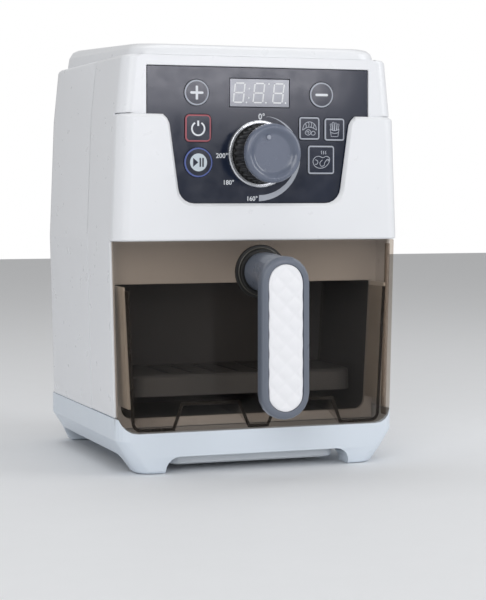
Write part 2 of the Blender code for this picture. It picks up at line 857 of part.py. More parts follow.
def base_form(name, material):
    """The base as one block from the floor to the top of its upstand."""
    rings = []
    for z, inset, setback in (
        (0.0, FOOT_EDGE, FOOT_SETBACK),
        (FOOT_EDGE, 0.0, FOOT_SETBACK),
        (SKIRT_BOTTOM, 0.0, 0.0),
        (SLOPE_TOP, 0.0, 0.0),
        (BASE_SIDE_TOP, 0.0, 0.0),
    ):
        half = base_half(z) - inset
        near = setback + inset
        far = BODY_DEPTH - setback - inset
        rear_radius = CORNER_REAR - setback if z > FOOT_EDGE else CORNER_FRONT + setback
        rings.append(plan_ring(z, half, near, far, CORNER_FRONT, rear_radius))
    return loft(name, rings, material)


def cross_ring(z, x_half, y_half, x_reach, y_reach):
    """A plus shape in plan: one arm runs front to back, the other from side to side."""
    middle_y = depth_y(BODY_DEPTH / 2)
    quarter = [(x_half, -y_reach), (x_half, -y_half), (x_reach, -y_half)]
    half_turn = quarter + [(x, -y) for x, y in reversed(quarter)]
    points = half_turn + [(-x, -y) for x, y in half_turn]
    return [(x, middle_y + y, z) for x, y in points]


def arches():
    """Front to back and side to side arches: flat on top, a round shoulder on each side, open below."""
    levels = [(ARCH_ROUND, -CUT_OVERRUN)]
    levels += [(across, SKIRT_BOTTOM - ARCH_ROUND + up) for across, up in corner((0, 0), ARCH_ROUND, 0, 1)]
    x_half = FOOT_INNER_HALF - ARCH_ROUND
    y_half = BODY_DEPTH / 2 - FOOT_LENGTH - ARCH_ROUND
    x_reach = MID_HALF + CUT_OVERRUN
    y_reach = BODY_DEPTH / 2 + CUT_OVERRUN
    return loft(
        "arches",
        [cross_ring(z, x_half + across, y_half + across, x_reach, y_reach) for across, z in levels],
    )


def drawer_outline(grow=0.0, low=DRAWER_BOTTOM):
    """The drawer front's outline: tapered sides and round lower corners."""
    bottom = low - grow
    radius = DRAWER_CORNER + grow
    top = DRAWER_TOP + grow
    low_half = half_width(DRAWER_BOTTOM + DRAWER_CORNER) - DRAWER_INSET
    right = [
        *corner((low_half - DRAWER_CORNER, bottom + radius), radius, 3, 1),
        (half_width(DRAWER_TOP) - DRAWER_INSET + grow, top),
    ]
    left = [(-x, z) for x, z in reversed(right)]
    return right + left


def make_base():
    material = plastic("base_white", WHITE, 0.35)
    base = base_form("base", material)
    inside = base_inside_half()
    rear_radius = CORNER_REAR - WALL
    upper_space = loft(
        "base_upper_space",
        [
            plan_ring(z, inside, RIM_DEPTH, BODY_DEPTH - WALL, FOOT_ROOM, rear_radius)
            for z in (BASE_TOP, BASE_SIDE_TOP + CUT_OVERRUN)
        ],
    )
    drawer_space = front_plate(
        "base_drawer_space",
        [drawer_outline(RUN_GAP, BASE_TOP + RUN_GAP)],
        -CUT_OVERRUN,
        RIM_DEPTH + CUT_OVERRUN,
    )
    under_half = FOOT_INNER_HALF - FOOT_ROOM
    under_length = BODY_DEPTH / 2 - FOOT_LENGTH - FOOT_ROOM
    under_space = loft(
        "base_under_space",
        [
            cross_ring(z, under_half, under_length, base_half(z) - WALL, BODY_DEPTH / 2 - WALL)
            for z in (SKIRT_BOTTOM - ARCH_ROUND / 2, BASE_TOP - DECK_THICK)
        ],
    )
    cut(base, upper_space, drawer_space, arches(), under_space)
    for side in (-1, 1):
        for depth in BASE_SCREW_DEPTHS:
            cut(base, base_screw_hole("base_hole", side, depth))
    return base


# Underside: the cover with the battery bay, its door, cells and contacts

BAY_WALL = 0.0016
BAY_SIDE_ROOM = 0.0040
BAY_SCREW_ROOM = 0.0110
CONTACT_THICK = 0.0006
COVER_POST_RADIUS = 0.0046
COVER_SEAT_LIFT = 0.0108
COVER_SEAT_Z = COVER_BOTTOM + COVER_SEAT_LIFT


def bay_ranges(grow=0.0):
    """The battery bay's inner X and depth ranges."""
    half = CELL_LENGTH / 2 + BAY_SIDE_ROOM
    length = CELL_COUNT * CELL_PITCH
    near = BATTERY_DEPTH - length / 2
    far = BATTERY_DEPTH + length / 2 + BAY_SCREW_ROOM
    return (-half - grow, half + grow), (near - grow, far + grow)


def door_screw_place():
    _, (near, far) = bay_ranges()
    return far - BAY_SCREW_ROOM / 2


def make_bottom_cover():
    """A shallow tray under the base with the battery bay's walls and four screw posts."""
    material = plastic("cover_white", WHITE, 0.4)
    top = BASE_TOP - DECK_THICK - SEAT_GAP
    outline_round = 0.006
    rings = []
    for z, ease in (
        (COVER_BOTTOM, COVER_WALL / 2),
        (COVER_BOTTOM + COVER_WALL / 2, 0.0),
        (top, 0.0),
    ):
        near = COVER_FRONT_DEPTH + ease
        far = COVER_REAR_DEPTH - ease
        rings.append(plan_ring(z, COVER_HALF - ease, near, far, outline_round, outline_round))
    cover = loft("bottom_cover", rings, material)
    inside = COVER_HALF - COVER_WALL
    cut(
        cover,
        block(
            "cover_hollow",
            (-inside, inside),
            (COVER_FRONT_DEPTH + COVER_WALL, COVER_REAR_DEPTH - COVER_WALL),
            (COVER_BOTTOM + COVER_WALL, top + CUT_OVERRUN),
        ),
    )
    x_outer, depth_outer = bay_ranges(BAY_WALL)
    bay = block(
        "bay_walls", x_outer, depth_outer, (COVER_BOTTOM + COVER_WALL / 2, top)
    )
    unite(cover, bay)
    x_inner, depth_inner = bay_ranges()
    cut(
        cover,
        block(
            "bay_hollow",
            x_inner,
            depth_inner,
            (COVER_BOTTOM - CUT_OVERRUN, top + CUT_OVERRUN),
        ),
    )
    post_place = (0.0, depth_y(door_screw_place()))
    boss_low = COVER_BOTTOM + DOOR_THICK + SEAT_GAP
    wall_reach = depth_inner[1] + BAY_WALL / 2
    boss_half = 0.0040
    boss = block(
        "door_boss",
        (-boss_half, boss_half),
        (door_screw_place() - boss_half, wall_reach),
        (boss_low, top),
    )
    unite(cover, boss)
    hole = SCREW_RADIUS + SCREW_CLEARANCE
    pilot_start = (*post_place, boss_low - CUT_OVERRUN)
    pilot_length = BAY_SCREW_ROOM + CUT_OVERRUN
    cut(cover, rod("door_pilot", hole, pilot_start, (0, 0, 1), pilot_length, steps=16))
    floor_middle = COVER_BOTTOM + COVER_WALL / 2
    well = SCREW_HEAD_RADIUS + SCREW_CLEARANCE
    for side in (-1, 1):
        for depth in BASE_SCREW_DEPTHS:
            x = side * BASE_SCREW_HALF
            y = depth_y(depth)
            foot = (x, y, floor_middle)
            unite(cover, rod("cover_post", COVER_POST_RADIUS, foot, (0, 0, 1), top - floor_middle))
            well_start = (x, y, COVER_BOTTOM - CUT_OVERRUN)
            well_length = COVER_SEAT_Z - COVER_BOTTOM + CUT_OVERRUN
            cut(
                cover,
                rod("cover_well", well, well_start, (0, 0, 1), well_length, steps=16),
                base_screw_hole("cover_hole", side, depth),
            )
    return cover


def make_base_screws():
    index = 0
    length = LINER_FLOOR - LINER_WALL - RUN_GAP - COVER_SEAT_Z
    for depth in BASE_SCREW_DEPTHS:
        for side in (-1, 1):
            index += 1
            place = (side * BASE_SCREW_HALF, depth_y(depth), COVER_SEAT_Z - SEAT_GAP)
            screw(f"base_screw_{index}", place, (0, 0, -1), length)


def make_battery_door():
    material = plastic("door_white", WHITE, 0.4)
    x_range, depth_range = bay_ranges(-SEAT_GAP)
    door = block(
        "battery_door", x_range, depth_range, (COVER_BOTTOM, COVER_BOTTOM + DOOR_THICK), material
    )
    hole = SCREW_RADIUS + SCREW_CLEARANCE
    place = (0.0, depth_y(door_screw_place()), COVER_BOTTOM - CUT_OVERRUN)
    cut(door, rod("door_hole", hole, place, (0, 0, 1), DOOR_THICK + 2 * CUT_OVERRUN, steps=16))
    seat = (0.0, depth_y(door_screw_place()), COVER_BOTTOM - SEAT_GAP)
    length = BAY_SCREW_ROOM - SEAT_GAP
    screw("battery_door_screw", seat, (0, 0, -1), length)
    return door


def make_cells():
    """AA cells side by side, each a can with its raised contact."""
    low = COVER_BOTTOM + DOOR_THICK + SEAT_GAP
    nub_radius = 0.0026
    nub_height = 0.0012
    can = CELL_LENGTH - nub_height
    length = CELL_COUNT * CELL_PITCH
    for index in range(CELL_COUNT):
        depth = BATTERY_DEPTH - length / 2 + CELL_PITCH * (index + 0.5)
        facing = 1 if index % 2 == 0 else -1
        profile = [
            (0.0, CELL_LENGTH / 2),
            (nub_radius, CELL_LENGTH / 2),
            (nub_radius, CELL_LENGTH / 2 - nub_height),
            (CELL_RADIUS, CELL_LENGTH / 2 - nub_height),
            (CELL_RADIUS, CELL_LENGTH / 2 - nub_height - can),
            (0.0, CELL_LENGTH / 2 - nub_height - can),
        ]
        turned(
            f"battery_cell_{index + 1}",
            profile,
            (0.0, depth_y(depth), low + CELL_RADIUS),
            (facing, 0, 0),
            plastic(f"cell_jacket_{index + 1}", (0.05, 0.08, 0.16), 0.3, 0.6),
            steps=18,
        )
    x_range, _ = bay_ranges()
    for side, label in ((-1, "left"), (1, "right")):
        outer = x_range[1] - SEAT_GAP
        span = (side * (outer - CONTACT_THICK), side * outer)
        block(
            f"battery_contact_{label}",
            (min(span), max(span)),
            (BATTERY_DEPTH - length / 2 + SEAT_GAP, BATTERY_DEPTH + length / 2 - SEAT_GAP),
            (low, low + 2 * CELL_RADIUS - SEAT_GAP),
            plastic(f"contact_{label}", STEEL, 0.3, 1.0),
        )


# Cavity: the dark liner, its lamp window and the lamp on top

LAMP_HALF = 0.016
LAMP_LENGTH = 0.014
LAMP_DEPTH = 0.050
LINER_RIB_INSET = 0.0140
LINER_BACK_ROOM = 0.0025
LINER_RIB_HALF = BUCKET_LOW_HALF - LINER_RIB_INSET
LINER_BACK_DEPTH = BUCKET_BACK_DEPTH + DRAWER_BACK_THICK + LINER_BACK_ROOM


def make_cavity_liner():
    material = plastic("liner_dark", DARK, 0.5)
    near = BULKHEAD_DEPTH + BULKHEAD_THICK + SEAT_GAP
    far = LINER_BACK_DEPTH + LINER_WALL
    liner = front_plate("cavity_liner", [liner_outline(LINER_WALL)], near, far, material)
    cut(liner, front_plate("liner_hollow", [liner_outline()], near - CUT_OVERRUN, LINER_BACK_DEPTH))
    rib_near = BASE_SCREW_DEPTHS[0] + CORNER_REAR
    for side in (-1, 1):
        x_range = sorted((side * LINER_RIB_HALF, side * (LINER_RIB_HALF + WALL)))
        unite(
            liner,
            block(
                "liner_rib",
                x_range,
                (rib_near, LINER_BACK_DEPTH),
                (BASE_TOP + SEAT_GAP, LINER_FLOOR - LINER_WALL / 2),
            ),
        )
    cut(
        liner,
        block(
            "lamp_window",
            (-LAMP_HALF - SEAT_GAP, LAMP_HALF + SEAT_GAP),
            (LAMP_DEPTH - LAMP_LENGTH / 2 - SEAT_GAP, LAMP_DEPTH + LAMP_LENGTH / 2 + SEAT_GAP),
            (LINER_CEILING - CUT_OVERRUN, LINER_CEILING + LINER_WALL + CUT_OVERRUN),
        ),
    )
    return liner


def make_lamp():
    """A clear window in the cavity's ceiling with the lamp board over it."""
    top = LINER_CEILING + LINER_WALL
    depth_range = (LAMP_DEPTH - LAMP_LENGTH / 2, LAMP_DEPTH + LAMP_LENGTH / 2)
    block(
        "lamp_window_lens",
        (-LAMP_HALF, LAMP_HALF),
        depth_range,
        (LINER_CEILING, top),
        plastic("lamp_clear", (0.9, 0.55, 0.3), 0.1, 0.0, 0.8),
    )
    flange = WALL
    board_thick = BOARD_THICK
    board = block(
        "lamp_board",
        (-LAMP_HALF - flange, LAMP_HALF + flange),
        (depth_range[0] - flange, depth_range[1] + flange),
        (top + SEAT_GAP, top + SEAT_GAP + board_thick),
        plastic("lamp_board_green", BOARD_GREEN, 0.5),
    )
    led_radius = 0.0025
    for side in (-1, 1):
        place = (side * LAMP_HALF / 2, depth_y(LAMP_DEPTH), top + SEAT_GAP + board_thick / 2)
        unite(board, rod("led", led_radius, place, (0, 0, 1), board_thick + WALL, steps=12))
    return board


def make_sound_board():
    """The small sound and timer board that lies on the cavity liner behind the lamp."""
    low = LINER_CEILING + LINER_WALL + SEAT_GAP
    half = 0.022
    near = LAMP_DEPTH + LAMP_LENGTH
    board = block(
        "sound_board",
        (-half, half),
        (near, LINER_BACK_DEPTH),
        (low, low + BOARD_THICK),
        plastic("sound_board_green", BOARD_GREEN, 0.5),
    )
    chip_half = 0.006
    chip_depth = (near + LINER_BACK_DEPTH) / 2
    unite(
        board,
        block(
            "sound_chip",
            (-chip_half, chip_half),
            (chip_depth - chip_half, chip_depth + chip_half),
            (low + BOARD_THICK / 2, low + 2 * BOARD_THICK),
        ),
    )
    return board


def make_speaker():
    """The round speaker against the grille of the rear wall."""
    radius = 0.0180
    magnet_radius = 0.0095
    frame_height = 0.0040
    total = 0.0090
    profile = [
        (0.0, total),
        (magnet_radius, total),
        (magnet_radius, frame_height),
        (radius, frame_height / 2),
        (radius, 0.0),
        (0.0, 0.0),
    ]
    seat = depth_y(BODY_DEPTH - WALL - SEAT_GAP)
    return turned(
        "speaker", profile, (0.0, seat, SPEAKER_Z), (0, -1, 0), plastic("speaker_grey", GREY, 0.4, 0.5)
    )


# Drawer: smoky front, bucket with a raised grill bed, dark back panel and handle

FRONT_EASE = 0.0035
BUCKET_SLOPE_DEPTH = 0.0180
TROUGH_FRONT_LIFT = 0.0016
TROUGH_REAR_LIFT = 0.0014
TROUGH_FRONT_Z = BASE_TOP + TROUGH_FRONT_LIFT
TROUGH_REAR_Z = LINER_FLOOR + TROUGH_REAR_LIFT
TROUGH_HALF = 0.0055
PAD_RUN = 0.0049
TROUGH_END_ROUND = 0.0045


def drawer_front_ring(depth, ease):
    """The drawer front's outline at one depth, drawn in by an ease."""
    outline = drawer_outline()
    middle_z = (DRAWER_BOTTOM + DRAWER_TOP) / 2
    half_height = (DRAWER_TOP - DRAWER_BOTTOM) / 2
    x_share = 1 - ease / half_width(middle_z)
    z_share = 1 - ease / 4 / half_height
    return [(x * x_share, depth_y(depth), middle_z + (z - middle_z) * z_share) for x, z in outline]


def make_drawer_front():
    material = plastic("smoky_front", SMOKE, 0.08, 0.0, 0.75)
    rings = [drawer_front_ring(0.0, FRONT_EASE)]
    for step in (1, 2, 3):
        angle = step * math.pi / 6
        ease = FRONT_EASE * (1 - math.sin(angle))
        rings.append(drawer_front_ring(FRONT_EASE * (1 - math.cos(angle)), ease))
    rings.append(drawer_front_ring(RIM_DEPTH, 0.0))
    front = loft("drawer_front", rings, material)
    low = DRAWER_BOTTOM + DRAWER_CORNER
    side_low = half_width(low) - DRAWER_INSET - DRAWER_THICK
    top = DRAWER_TOP - DRAWER_THICK
    side_top = half_width(top) - DRAWER_INSET - DRAWER_THICK
    hollow_right = [
        (side_low, DRAWER_BOTTOM - CUT_OVERRUN),
        (side_low, low),
        (side_top, top),
    ]
    hollow = hollow_right + [(-x, z) for x, z in reversed(hollow_right)]
    cut(front, front_plate("drawer_front_hollow", [hollow], DRAWER_THICK, RIM_DEPTH + CUT_OVERRUN))
    hole = SCREW_RADIUS + SCREW_CLEARANCE
    for z in handle_screw_heights():
        place = (0.0, depth_y(-CUT_OVERRUN), z)
        length = DRAWER_THICK + 2 * CUT_OVERRUN
        cut(front, rod("handle_hole", hole, place, (0, 1, 0), length, steps=16))
    return front


def bucket_path(trough_z):
    """The middle line of the bucket's wall in the front view, from the right rim to the left rim."""
    low = trough_z + TROUGH_END_ROUND
    side = BUCKET_THICK / 2
    trough_end = bucket_half(low) - side - TROUGH_END_ROUND
    right = [
        (TROUGH_HALF, trough_z),
        (PAD_INNER_HALF, PAD_TOP),
        (PAD_OUTER_HALF, PAD_TOP),
        (PAD_OUTER_HALF + PAD_RUN, trough_z),
        *corner((trough_end, low), TROUGH_END_ROUND, 3, 1, steps=4),
        (bucket_half(BUCKET_TOP) - side, BUCKET_TOP),
    ]
    left = [(-x, z) for x, z in reversed(right)]
    return left + right


def offset_path(path, distance):
    """The same path moved sideways by a distance, its corners mitred."""
    least_mitre_share = 0.3
    moved = []
    for index, point in enumerate(path):
        here = Vector(point)
        before = Vector(path[max(index - 1, 0)])
        after = Vector(path[min(index + 1, len(path) - 1)])
        first = (here - before) if index else (after - here)
        second = (after - here) if index < len(path) - 1 else first
        first_normal = Vector((-first.y, first.x)).normalized()
        second_normal = Vector((-second.y, second.x)).normalized()
        normal = (first_normal + second_normal).normalized()
        reach = distance / max(normal.dot(first_normal), least_mitre_share)
        moved.append(tuple(here + normal * reach))
    return moved


def bucket_ring(depth, trough_z):
    path = bucket_path(trough_z)
    upper = offset_path(path, BUCKET_THICK / 2)
    lower = offset_path(path, -BUCKET_THICK / 2)
    return [(x, depth_y(depth), z) for x, z in lower + upper[::-1]]


def make_drawer_bucket():
    material = plastic("smoky_bucket", SMOKE, 0.1, 0.0, 0.75)
    near = DRAWER_THICK + SEAT_GAP
    rings = [
        bucket_ring(near, TROUGH_FRONT_Z),
        bucket_ring(BUCKET_SLOPE_DEPTH, TROUGH_REAR_Z),
        bucket_ring(BUCKET_BACK_DEPTH, TROUGH_REAR_Z),
    ]
    return loft("drawer_bucket", rings, material)


def make_drawer_back():
    """The dark panel that closes the bucket behind."""
    material = plastic("drawer_back_dark", DARK, 0.4)
    near = BUCKET_BACK_DEPTH + SEAT_GAP
    low = TROUGH_REAR_Z - BUCKET_THICK / 2
    radius = TROUGH_END_ROUND
    low_half = bucket_half(low + radius)
    right = [
        *corner((low_half - radius, low + radius), radius, 3, 1),
        (bucket_half(BUCKET_TOP), BUCKET_TOP),
    ]
    outline = right + [(-x, z) for x, z in reversed(right)]
    return front_plate("drawer_back", [outline], near, near + DRAWER_BACK_THICK, material)


# Handle on the drawer front

HANDLE_DROP = 0.0174
HANDLE_Z = DRAWER_TOP - HANDLE_DROP
COLLAR_RADIUS = 0.0152
NECK_RADIUS = 0.0108
COLLAR_BORE = NECK_RADIUS + SEAT_GAP
COLLAR_HEIGHT = 0.0042
GRIP_HALF = 0.01425
GRIP_DROP = 0.0073
GRIP_LIFT = 0.0093
GRIP_TOP = DRAWER_TOP - GRIP_DROP
GRIP_BOTTOM = DRAWER_BOTTOM + GRIP_LIFT
GRIP_THICK = 0.0088
GRIP_EDGE = 0.0022
INSERT_HALF = 0.0099
INSERT_MARGIN = 0.0045
INSERT_RECESS = 0.0016
INSERT_PROUD = 0.0006
HANDLE_SCREW_SPREAD = 0.0060

# Rings of the neck: share of its length, of its spread into the grip, of its rise to the grip's centre
NECK_SHARES = (
    (0.0, 0.0, 0.0),
    (0.30, 0.12, 0.0),
    (0.60, 0.38, 0.30),
    (0.82, 0.80, 0.80),
    (1.0, 1.0, 1.0),
)


def handle_screw_heights():
    return (HANDLE_Z - HANDLE_SCREW_SPREAD, HANDLE_Z + HANDLE_SCREW_SPREAD)


def pill_outline(half, low, high, steps=10):
    return [
        *corner((0.0, high - half), half, 0, 2, steps),
        *corner((0.0, low + half), half, 2, 2, steps),
    ]


def pill_ring(depth, half, low, high):
    return [(x, depth_y(depth), z) for x, z in pill_outline(half, low, high)]


def grip_form(name, material=None):
    """The pill-shaped grip with eased front and back edges."""
    front = -HANDLE_REACH
    back = GRIP_THICK - HANDLE_REACH
    first_share = 0.3
    rings = []
    for depth, ease in (
        (front, GRIP_EDGE),
        (front + GRIP_EDGE * first_share, GRIP_EDGE * first_share),
        (front + GRIP_EDGE, 0.0),
        (back - GRIP_EDGE, 0.0),
        (back, GRIP_EDGE),
    ):
        rings.append(pill_ring(depth, GRIP_HALF - ease, GRIP_BOTTOM + ease, GRIP_TOP - ease))
    return loft(name, rings, material)


def neck_form(name):
    """The round neck that runs from the drawer front and spreads into the grip."""
    back = -SEAT_GAP
    front = GRIP_THICK / 2 - HANDLE_REACH
    spread = GRIP_HALF - GRIP_EDGE / 2
    grip_centre = GRIP_TOP - GRIP_HALF
    rings = []
    for length_share, radius_share, rise_share in NECK_SHARES:
        y = depth_y(mix(back, front, length_share))
        radius = mix(NECK_RADIUS, spread, radius_share)
        z = mix(HANDLE_Z, grip_centre, rise_share)
        circle = corner((0.0, z), radius, 0, 4, ROUND_STEPS)[:-1]
        rings.append([(x, y, height) for x, height in circle])
    return loft(name, rings)


def make_handle():
    slate = plastic("handle_slate", SLATE, 0.3)
    grip = grip_form("handle_grip", slate)
    unite(grip, neck_form("neck_form"))
    low = GRIP_BOTTOM + INSERT_MARGIN
    high = GRIP_TOP - INSERT_MARGIN
    recess = [
        pill_ring(depth, INSERT_HALF + SEAT_GAP, low - SEAT_GAP, high + SEAT_GAP)
        for depth in (-HANDLE_REACH - CUT_OVERRUN, INSERT_RECESS - HANDLE_REACH)
    ]
    cut(grip, loft("insert_recess", recess))
    hole = SCREW_RADIUS + SCREW_CLEARANCE
    for z in handle_screw_heights():
        place = (0.0, depth_y(CUT_OVERRUN), z)
        length = SCREW_LENGTH + 2 * CUT_OVERRUN
        cut(grip, rod("grip_pilot", hole, place, (0, -1, 0), length, steps=16))
    back = INSERT_RECESS - SEAT_GAP - HANDLE_REACH
    front = -HANDLE_REACH
    insert_rings = [
        pill_ring(back, INSERT_HALF, low, high),
        pill_ring(front + INSERT_PROUD, INSERT_HALF, low, high),
        pill_ring(front, INSERT_HALF - INSERT_PROUD, low + INSERT_PROUD, high - INSERT_PROUD),
    ]
    loft("handle_insert", insert_rings, plastic("insert_white", WHITE, 0.45))
    collar_edge = COLLAR_HEIGHT / 3
    collar_profile = [
        (COLLAR_BORE, COLLAR_HEIGHT),
        (COLLAR_RADIUS - collar_edge, COLLAR_HEIGHT),
        (COLLAR_RADIUS, COLLAR_HEIGHT - collar_edge),
        (COLLAR_RADIUS, 0.0),
        (COLLAR_BORE, 0.0),
        (COLLAR_BORE, COLLAR_HEIGHT),
    ]
    collar_seat = (0.0, depth_y(-SEAT_GAP), HANDLE_Z)
    collar_dark = plastic("collar_dark", DARK, 0.3)
    turned("handle_collar", collar_profile, collar_seat, (0, -1, 0), collar_dark, steps=32)
    for index, z in enumerate(handle_screw_heights(), start=1):
        place = (0.0, depth_y(DRAWER_THICK + SEAT_GAP), z)
        screw(f"handle_screw_{index}", place, (0, 1, 0))


# Grill tray that stands in the bucket

TRAY_SIDE_ROOM = 0.0048
TRAY_BACK_ROOM = 0.0027
TRAY_LIFT = 0.0006
TRAY_SKIRT = 0.0122
TRAY_HALF = BUCKET_LOW_HALF - TRAY_SIDE_ROOM
TRAY_NEAR = 0.025
TRAY_FAR = BUCKET_BACK_DEPTH - TRAY_BACK_ROOM
TRAY_FLOOR = PAD_TOP + BUCKET_THICK / 2 + SEAT_GAP
TRAY_LOW = TRAY_FLOOR + TRAY_LIFT
TRAY_TOP = TRAY_LOW + TRAY_SKIRT
TRAY_WALL = 0.0016
TRAY_CORNER = 0.012
TRAY_FOOT_SHARE = 0.71
TRAY_FOOT_HALF = mix(PAD_INNER_HALF, PAD_OUTER_HALF, TRAY_FOOT_SHARE)
TRAY_FOOT_SIZE = 0.0030
SLOT_COUNT = 7
SLOT_HALF = 0.0013
SLOT_LENGTH = 0.042


def tray_ring(z, inset):
    radius = TRAY_CORNER - inset
    return plan_ring(z, TRAY_HALF - inset, TRAY_NEAR + inset, TRAY_FAR - inset, radius, radius)


def make_grill_tray():
    """An upside-down shallow tray with rows of slots and four feet that stand on the raised pads."""
    material = plastic("tray_grey", GREY, 0.35)
    low = TRAY_LOW
    edge = TRAY_WALL
    rings = [
        tray_ring(low, 0.0),
        tray_ring(TRAY_TOP - edge, 0.0),
        tray_ring(TRAY_TOP, edge),
    ]
    tray = loft("grill_tray", rings, material)
    hollow = [tray_ring(low - CUT_OVERRUN, TRAY_WALL), tray_ring(TRAY_TOP - TRAY_WALL, TRAY_WALL)]
    cut(tray, loft("tray_hollow", hollow))
    foot_near = TRAY_NEAR + TRAY_CORNER
    foot_far = TRAY_FAR - TRAY_CORNER
    foot_length = TRAY_TOP - TRAY_WALL / 2 - TRAY_FLOOR
    for x in (-TRAY_FOOT_HALF, TRAY_FOOT_HALF):
        for depth in (foot_near, foot_far):
            place = (x, depth_y(depth), TRAY_FLOOR)
            unite(tray, rod("tray_foot", TRAY_FOOT_SIZE, place, (0, 0, 1), foot_length, steps=12))
    middle = (TRAY_NEAR + TRAY_FAR) / 2
    pitch = 2 * (TRAY_HALF - TRAY_CORNER) / (SLOT_COUNT + 1)
    outline = pill_outline(SLOT_HALF, -SLOT_LENGTH / 2, SLOT_LENGTH / 2, steps=4)
    slot_levels = (TRAY_TOP - TRAY_WALL - CUT_OVERRUN, TRAY_TOP + CUT_OVERRUN)
    for index in range(SLOT_COUNT):
        x = (index - (SLOT_COUNT - 1) / 2) * pitch
        slot = [[(x + across, depth_y(middle) + along, z) for across, along in outline] for z in slot_levels]
        cut(tray, loft("tray_slot", slot))
    return tray


# Control panel: plate, display, board, dial and keys

WINDOW_WIDTH_SHARE = 0.307
WINDOW_DROP = 0.0063
WINDOW_HEIGHT = 0.0157
WINDOW_HALF = PANEL_LOWER_HALF * WINDOW_WIDTH_SHARE
WINDOW_HIGH = PANEL_TOP - WINDOW_DROP
WINDOW_LOW = WINDOW_HIGH - WINDOW_HEIGHT
PANEL_POST_RADIUS = 0.0026
PANEL_POST_SHARE = 0.145
PANEL_POST_ROOM = 0.0010
BUSH_RADIUS = 0.0040
SHAFT_RADIUS = 0.0030
KEY_FLANGE = 0.0010
KEY_FLANGE_THICK = 0.0010

# The panel's layout grid: shares of its lower half width across, and of its height upwards
GRID_ACROSS_SHARES = 58.0
GRID_UP_SHARES = 79.7
GRID_X = PANEL_LOWER_HALF / GRID_ACROSS_SHARES
GRID_Z = (PANEL_TOP - PANEL_BOTTOM) / GRID_UP_SHARES

# Each key on that grid: X from the middle, Z from the panel's bottom, half width, half height, corner
KEY_SHARES = (
    ("key_plus", -37.6, 65.1, 7.2, 7.2, 7.2),
    ("key_minus", 37.6, 65.1, 7.2, 7.2, 7.2),
    ("key_power", -36.8, 45.3, 7.6, 7.6, 2.6),
    ("key_start", -36.6, 26.2, 8.3, 8.3, 8.3),
    ("key_bakery", 30.1, 45.9, 6.25, 6.45, 1.6),
    ("key_chips", 45.6, 45.4, 6.15, 6.4, 1.6),
    ("key_roast", 37.3, 28.0, 8.1, 8.1, 1.6),
)
KEYS = tuple(
    (name, x * GRID_X, PANEL_BOTTOM + z * GRID_Z, wide * GRID_X, tall * GRID_Z, turn * min(GRID_X, GRID_Z))
    for name, x, z, wide, tall, turn in KEY_SHARES
)


def board_post_places():
    x = PANEL_LOWER_HALF - PANEL_LEDGE - PANEL_POST_RADIUS - PANEL_POST_ROOM
    z = mix(PANEL_BOTTOM, PANEL_TOP, PANEL_POST_SHARE)
    return ((-x, z), (x, z))


def key_outline(key, grow=0.0):
    _, x, z, half_w, half_h, radius = key
    steps = 6 if radius > half_w / 2 else 3
    wide = half_w + grow
    tall = half_h + grow
    return rounded_box_outline(x - wide, x + wide, z - tall, z + tall, (radius + grow,) * 4, steps)


def make_control_panel():
    material = plastic("panel_navy", PANEL_NAVY, 0.12)
    back = PANEL_DEPTH + PANEL_THICK
    holes = [key_outline(key, KEY_CLEARANCE) for key in KEYS]
    holes.append(
        [
            (-WINDOW_HALF - SEAT_GAP, WINDOW_LOW - SEAT_GAP),
            (WINDOW_HALF + SEAT_GAP, WINDOW_LOW - SEAT_GAP),
            (WINDOW_HALF + SEAT_GAP, WINDOW_HIGH + SEAT_GAP),
            (-WINDOW_HALF - SEAT_GAP, WINDOW_HIGH + SEAT_GAP),
        ]
    )
    holes.append(corner((0.0, DIAL_Z), BUSH_RADIUS + SEAT_GAP, 0, 4, ROUND_STEPS)[:-1])
    panel = front_plate("control_panel", [panel_outline(), *holes], PANEL_DEPTH, back, material)
    for x, z in board_post_places():
        place = (x, depth_y(back - PANEL_THICK / 2), z)
        post = BOARD_GAP + PANEL_THICK / 2 - SEAT_GAP
        unite(panel, rod("panel_post", PANEL_POST_RADIUS, place, (0, 1, 0), post, steps=16))
        pilot = (x, depth_y(back + SEAT_GAP), z)
        hole = SCREW_RADIUS + SCREW_CLEARANCE
        cut(panel, rod("panel_pilot", hole, pilot, (0, 1, 0), BOARD_GAP + CUT_OVERRUN, steps=12))
    return panel


def make_display():
    back = PANEL_DEPTH + PANEL_THICK
    block(
        "display_window",
        (-WINDOW_HALF, WINDOW_HALF),
        (PANEL_DEPTH, back),
        (WINDOW_LOW, WINDOW_HIGH),
        plastic("window_grey", (0.55, 0.56, 0.57), 0.15, 0.0, 0.3),
    )
    frame = WALL
    block(
        "display_module",
        (-WINDOW_HALF - frame, WINDOW_HALF + frame),
        (back + SEAT_GAP, back + BOARD_GAP - SEAT_GAP),
        (WINDOW_LOW - frame, WINDOW_HIGH + frame),
        plastic("display_white", (0.7, 0.7, 0.7), 0.4),
    )


def board_depths():
    near = PANEL_DEPTH + PANEL_THICK + BOARD_GAP
    return near, near + BOARD_THICK


def make_control_board():
    """The printed board on the panel's posts, with two screws."""
    near, far = board_depths()
    half = PANEL_LOWER_HALF - PANEL_POST_RADIUS
    low = board_post_places()[0][1] - 2 * PANEL_POST_RADIUS
    high = WINDOW_HIGH + WALL
    outline = [(-half, low), (half, low), (half, high), (-half, high)]
    hole = SCREW_RADIUS + SCREW_CLEARANCE
    holes = [corner(place, hole, 0, 4, 12)[:-1] for place in board_post_places()]
    green = plastic("board_green", BOARD_GREEN, 0.45)
    front_plate("control_board", [outline, *holes], near, far, green)
    length = BOARD_THICK + BOARD_GAP - 2 * SEAT_GAP
    for index, (x, z) in enumerate(board_post_places(), start=1):
        screw(f"board_screw_{index}", (x, depth_y(far + SEAT_GAP), z), (0, 1, 0), length)


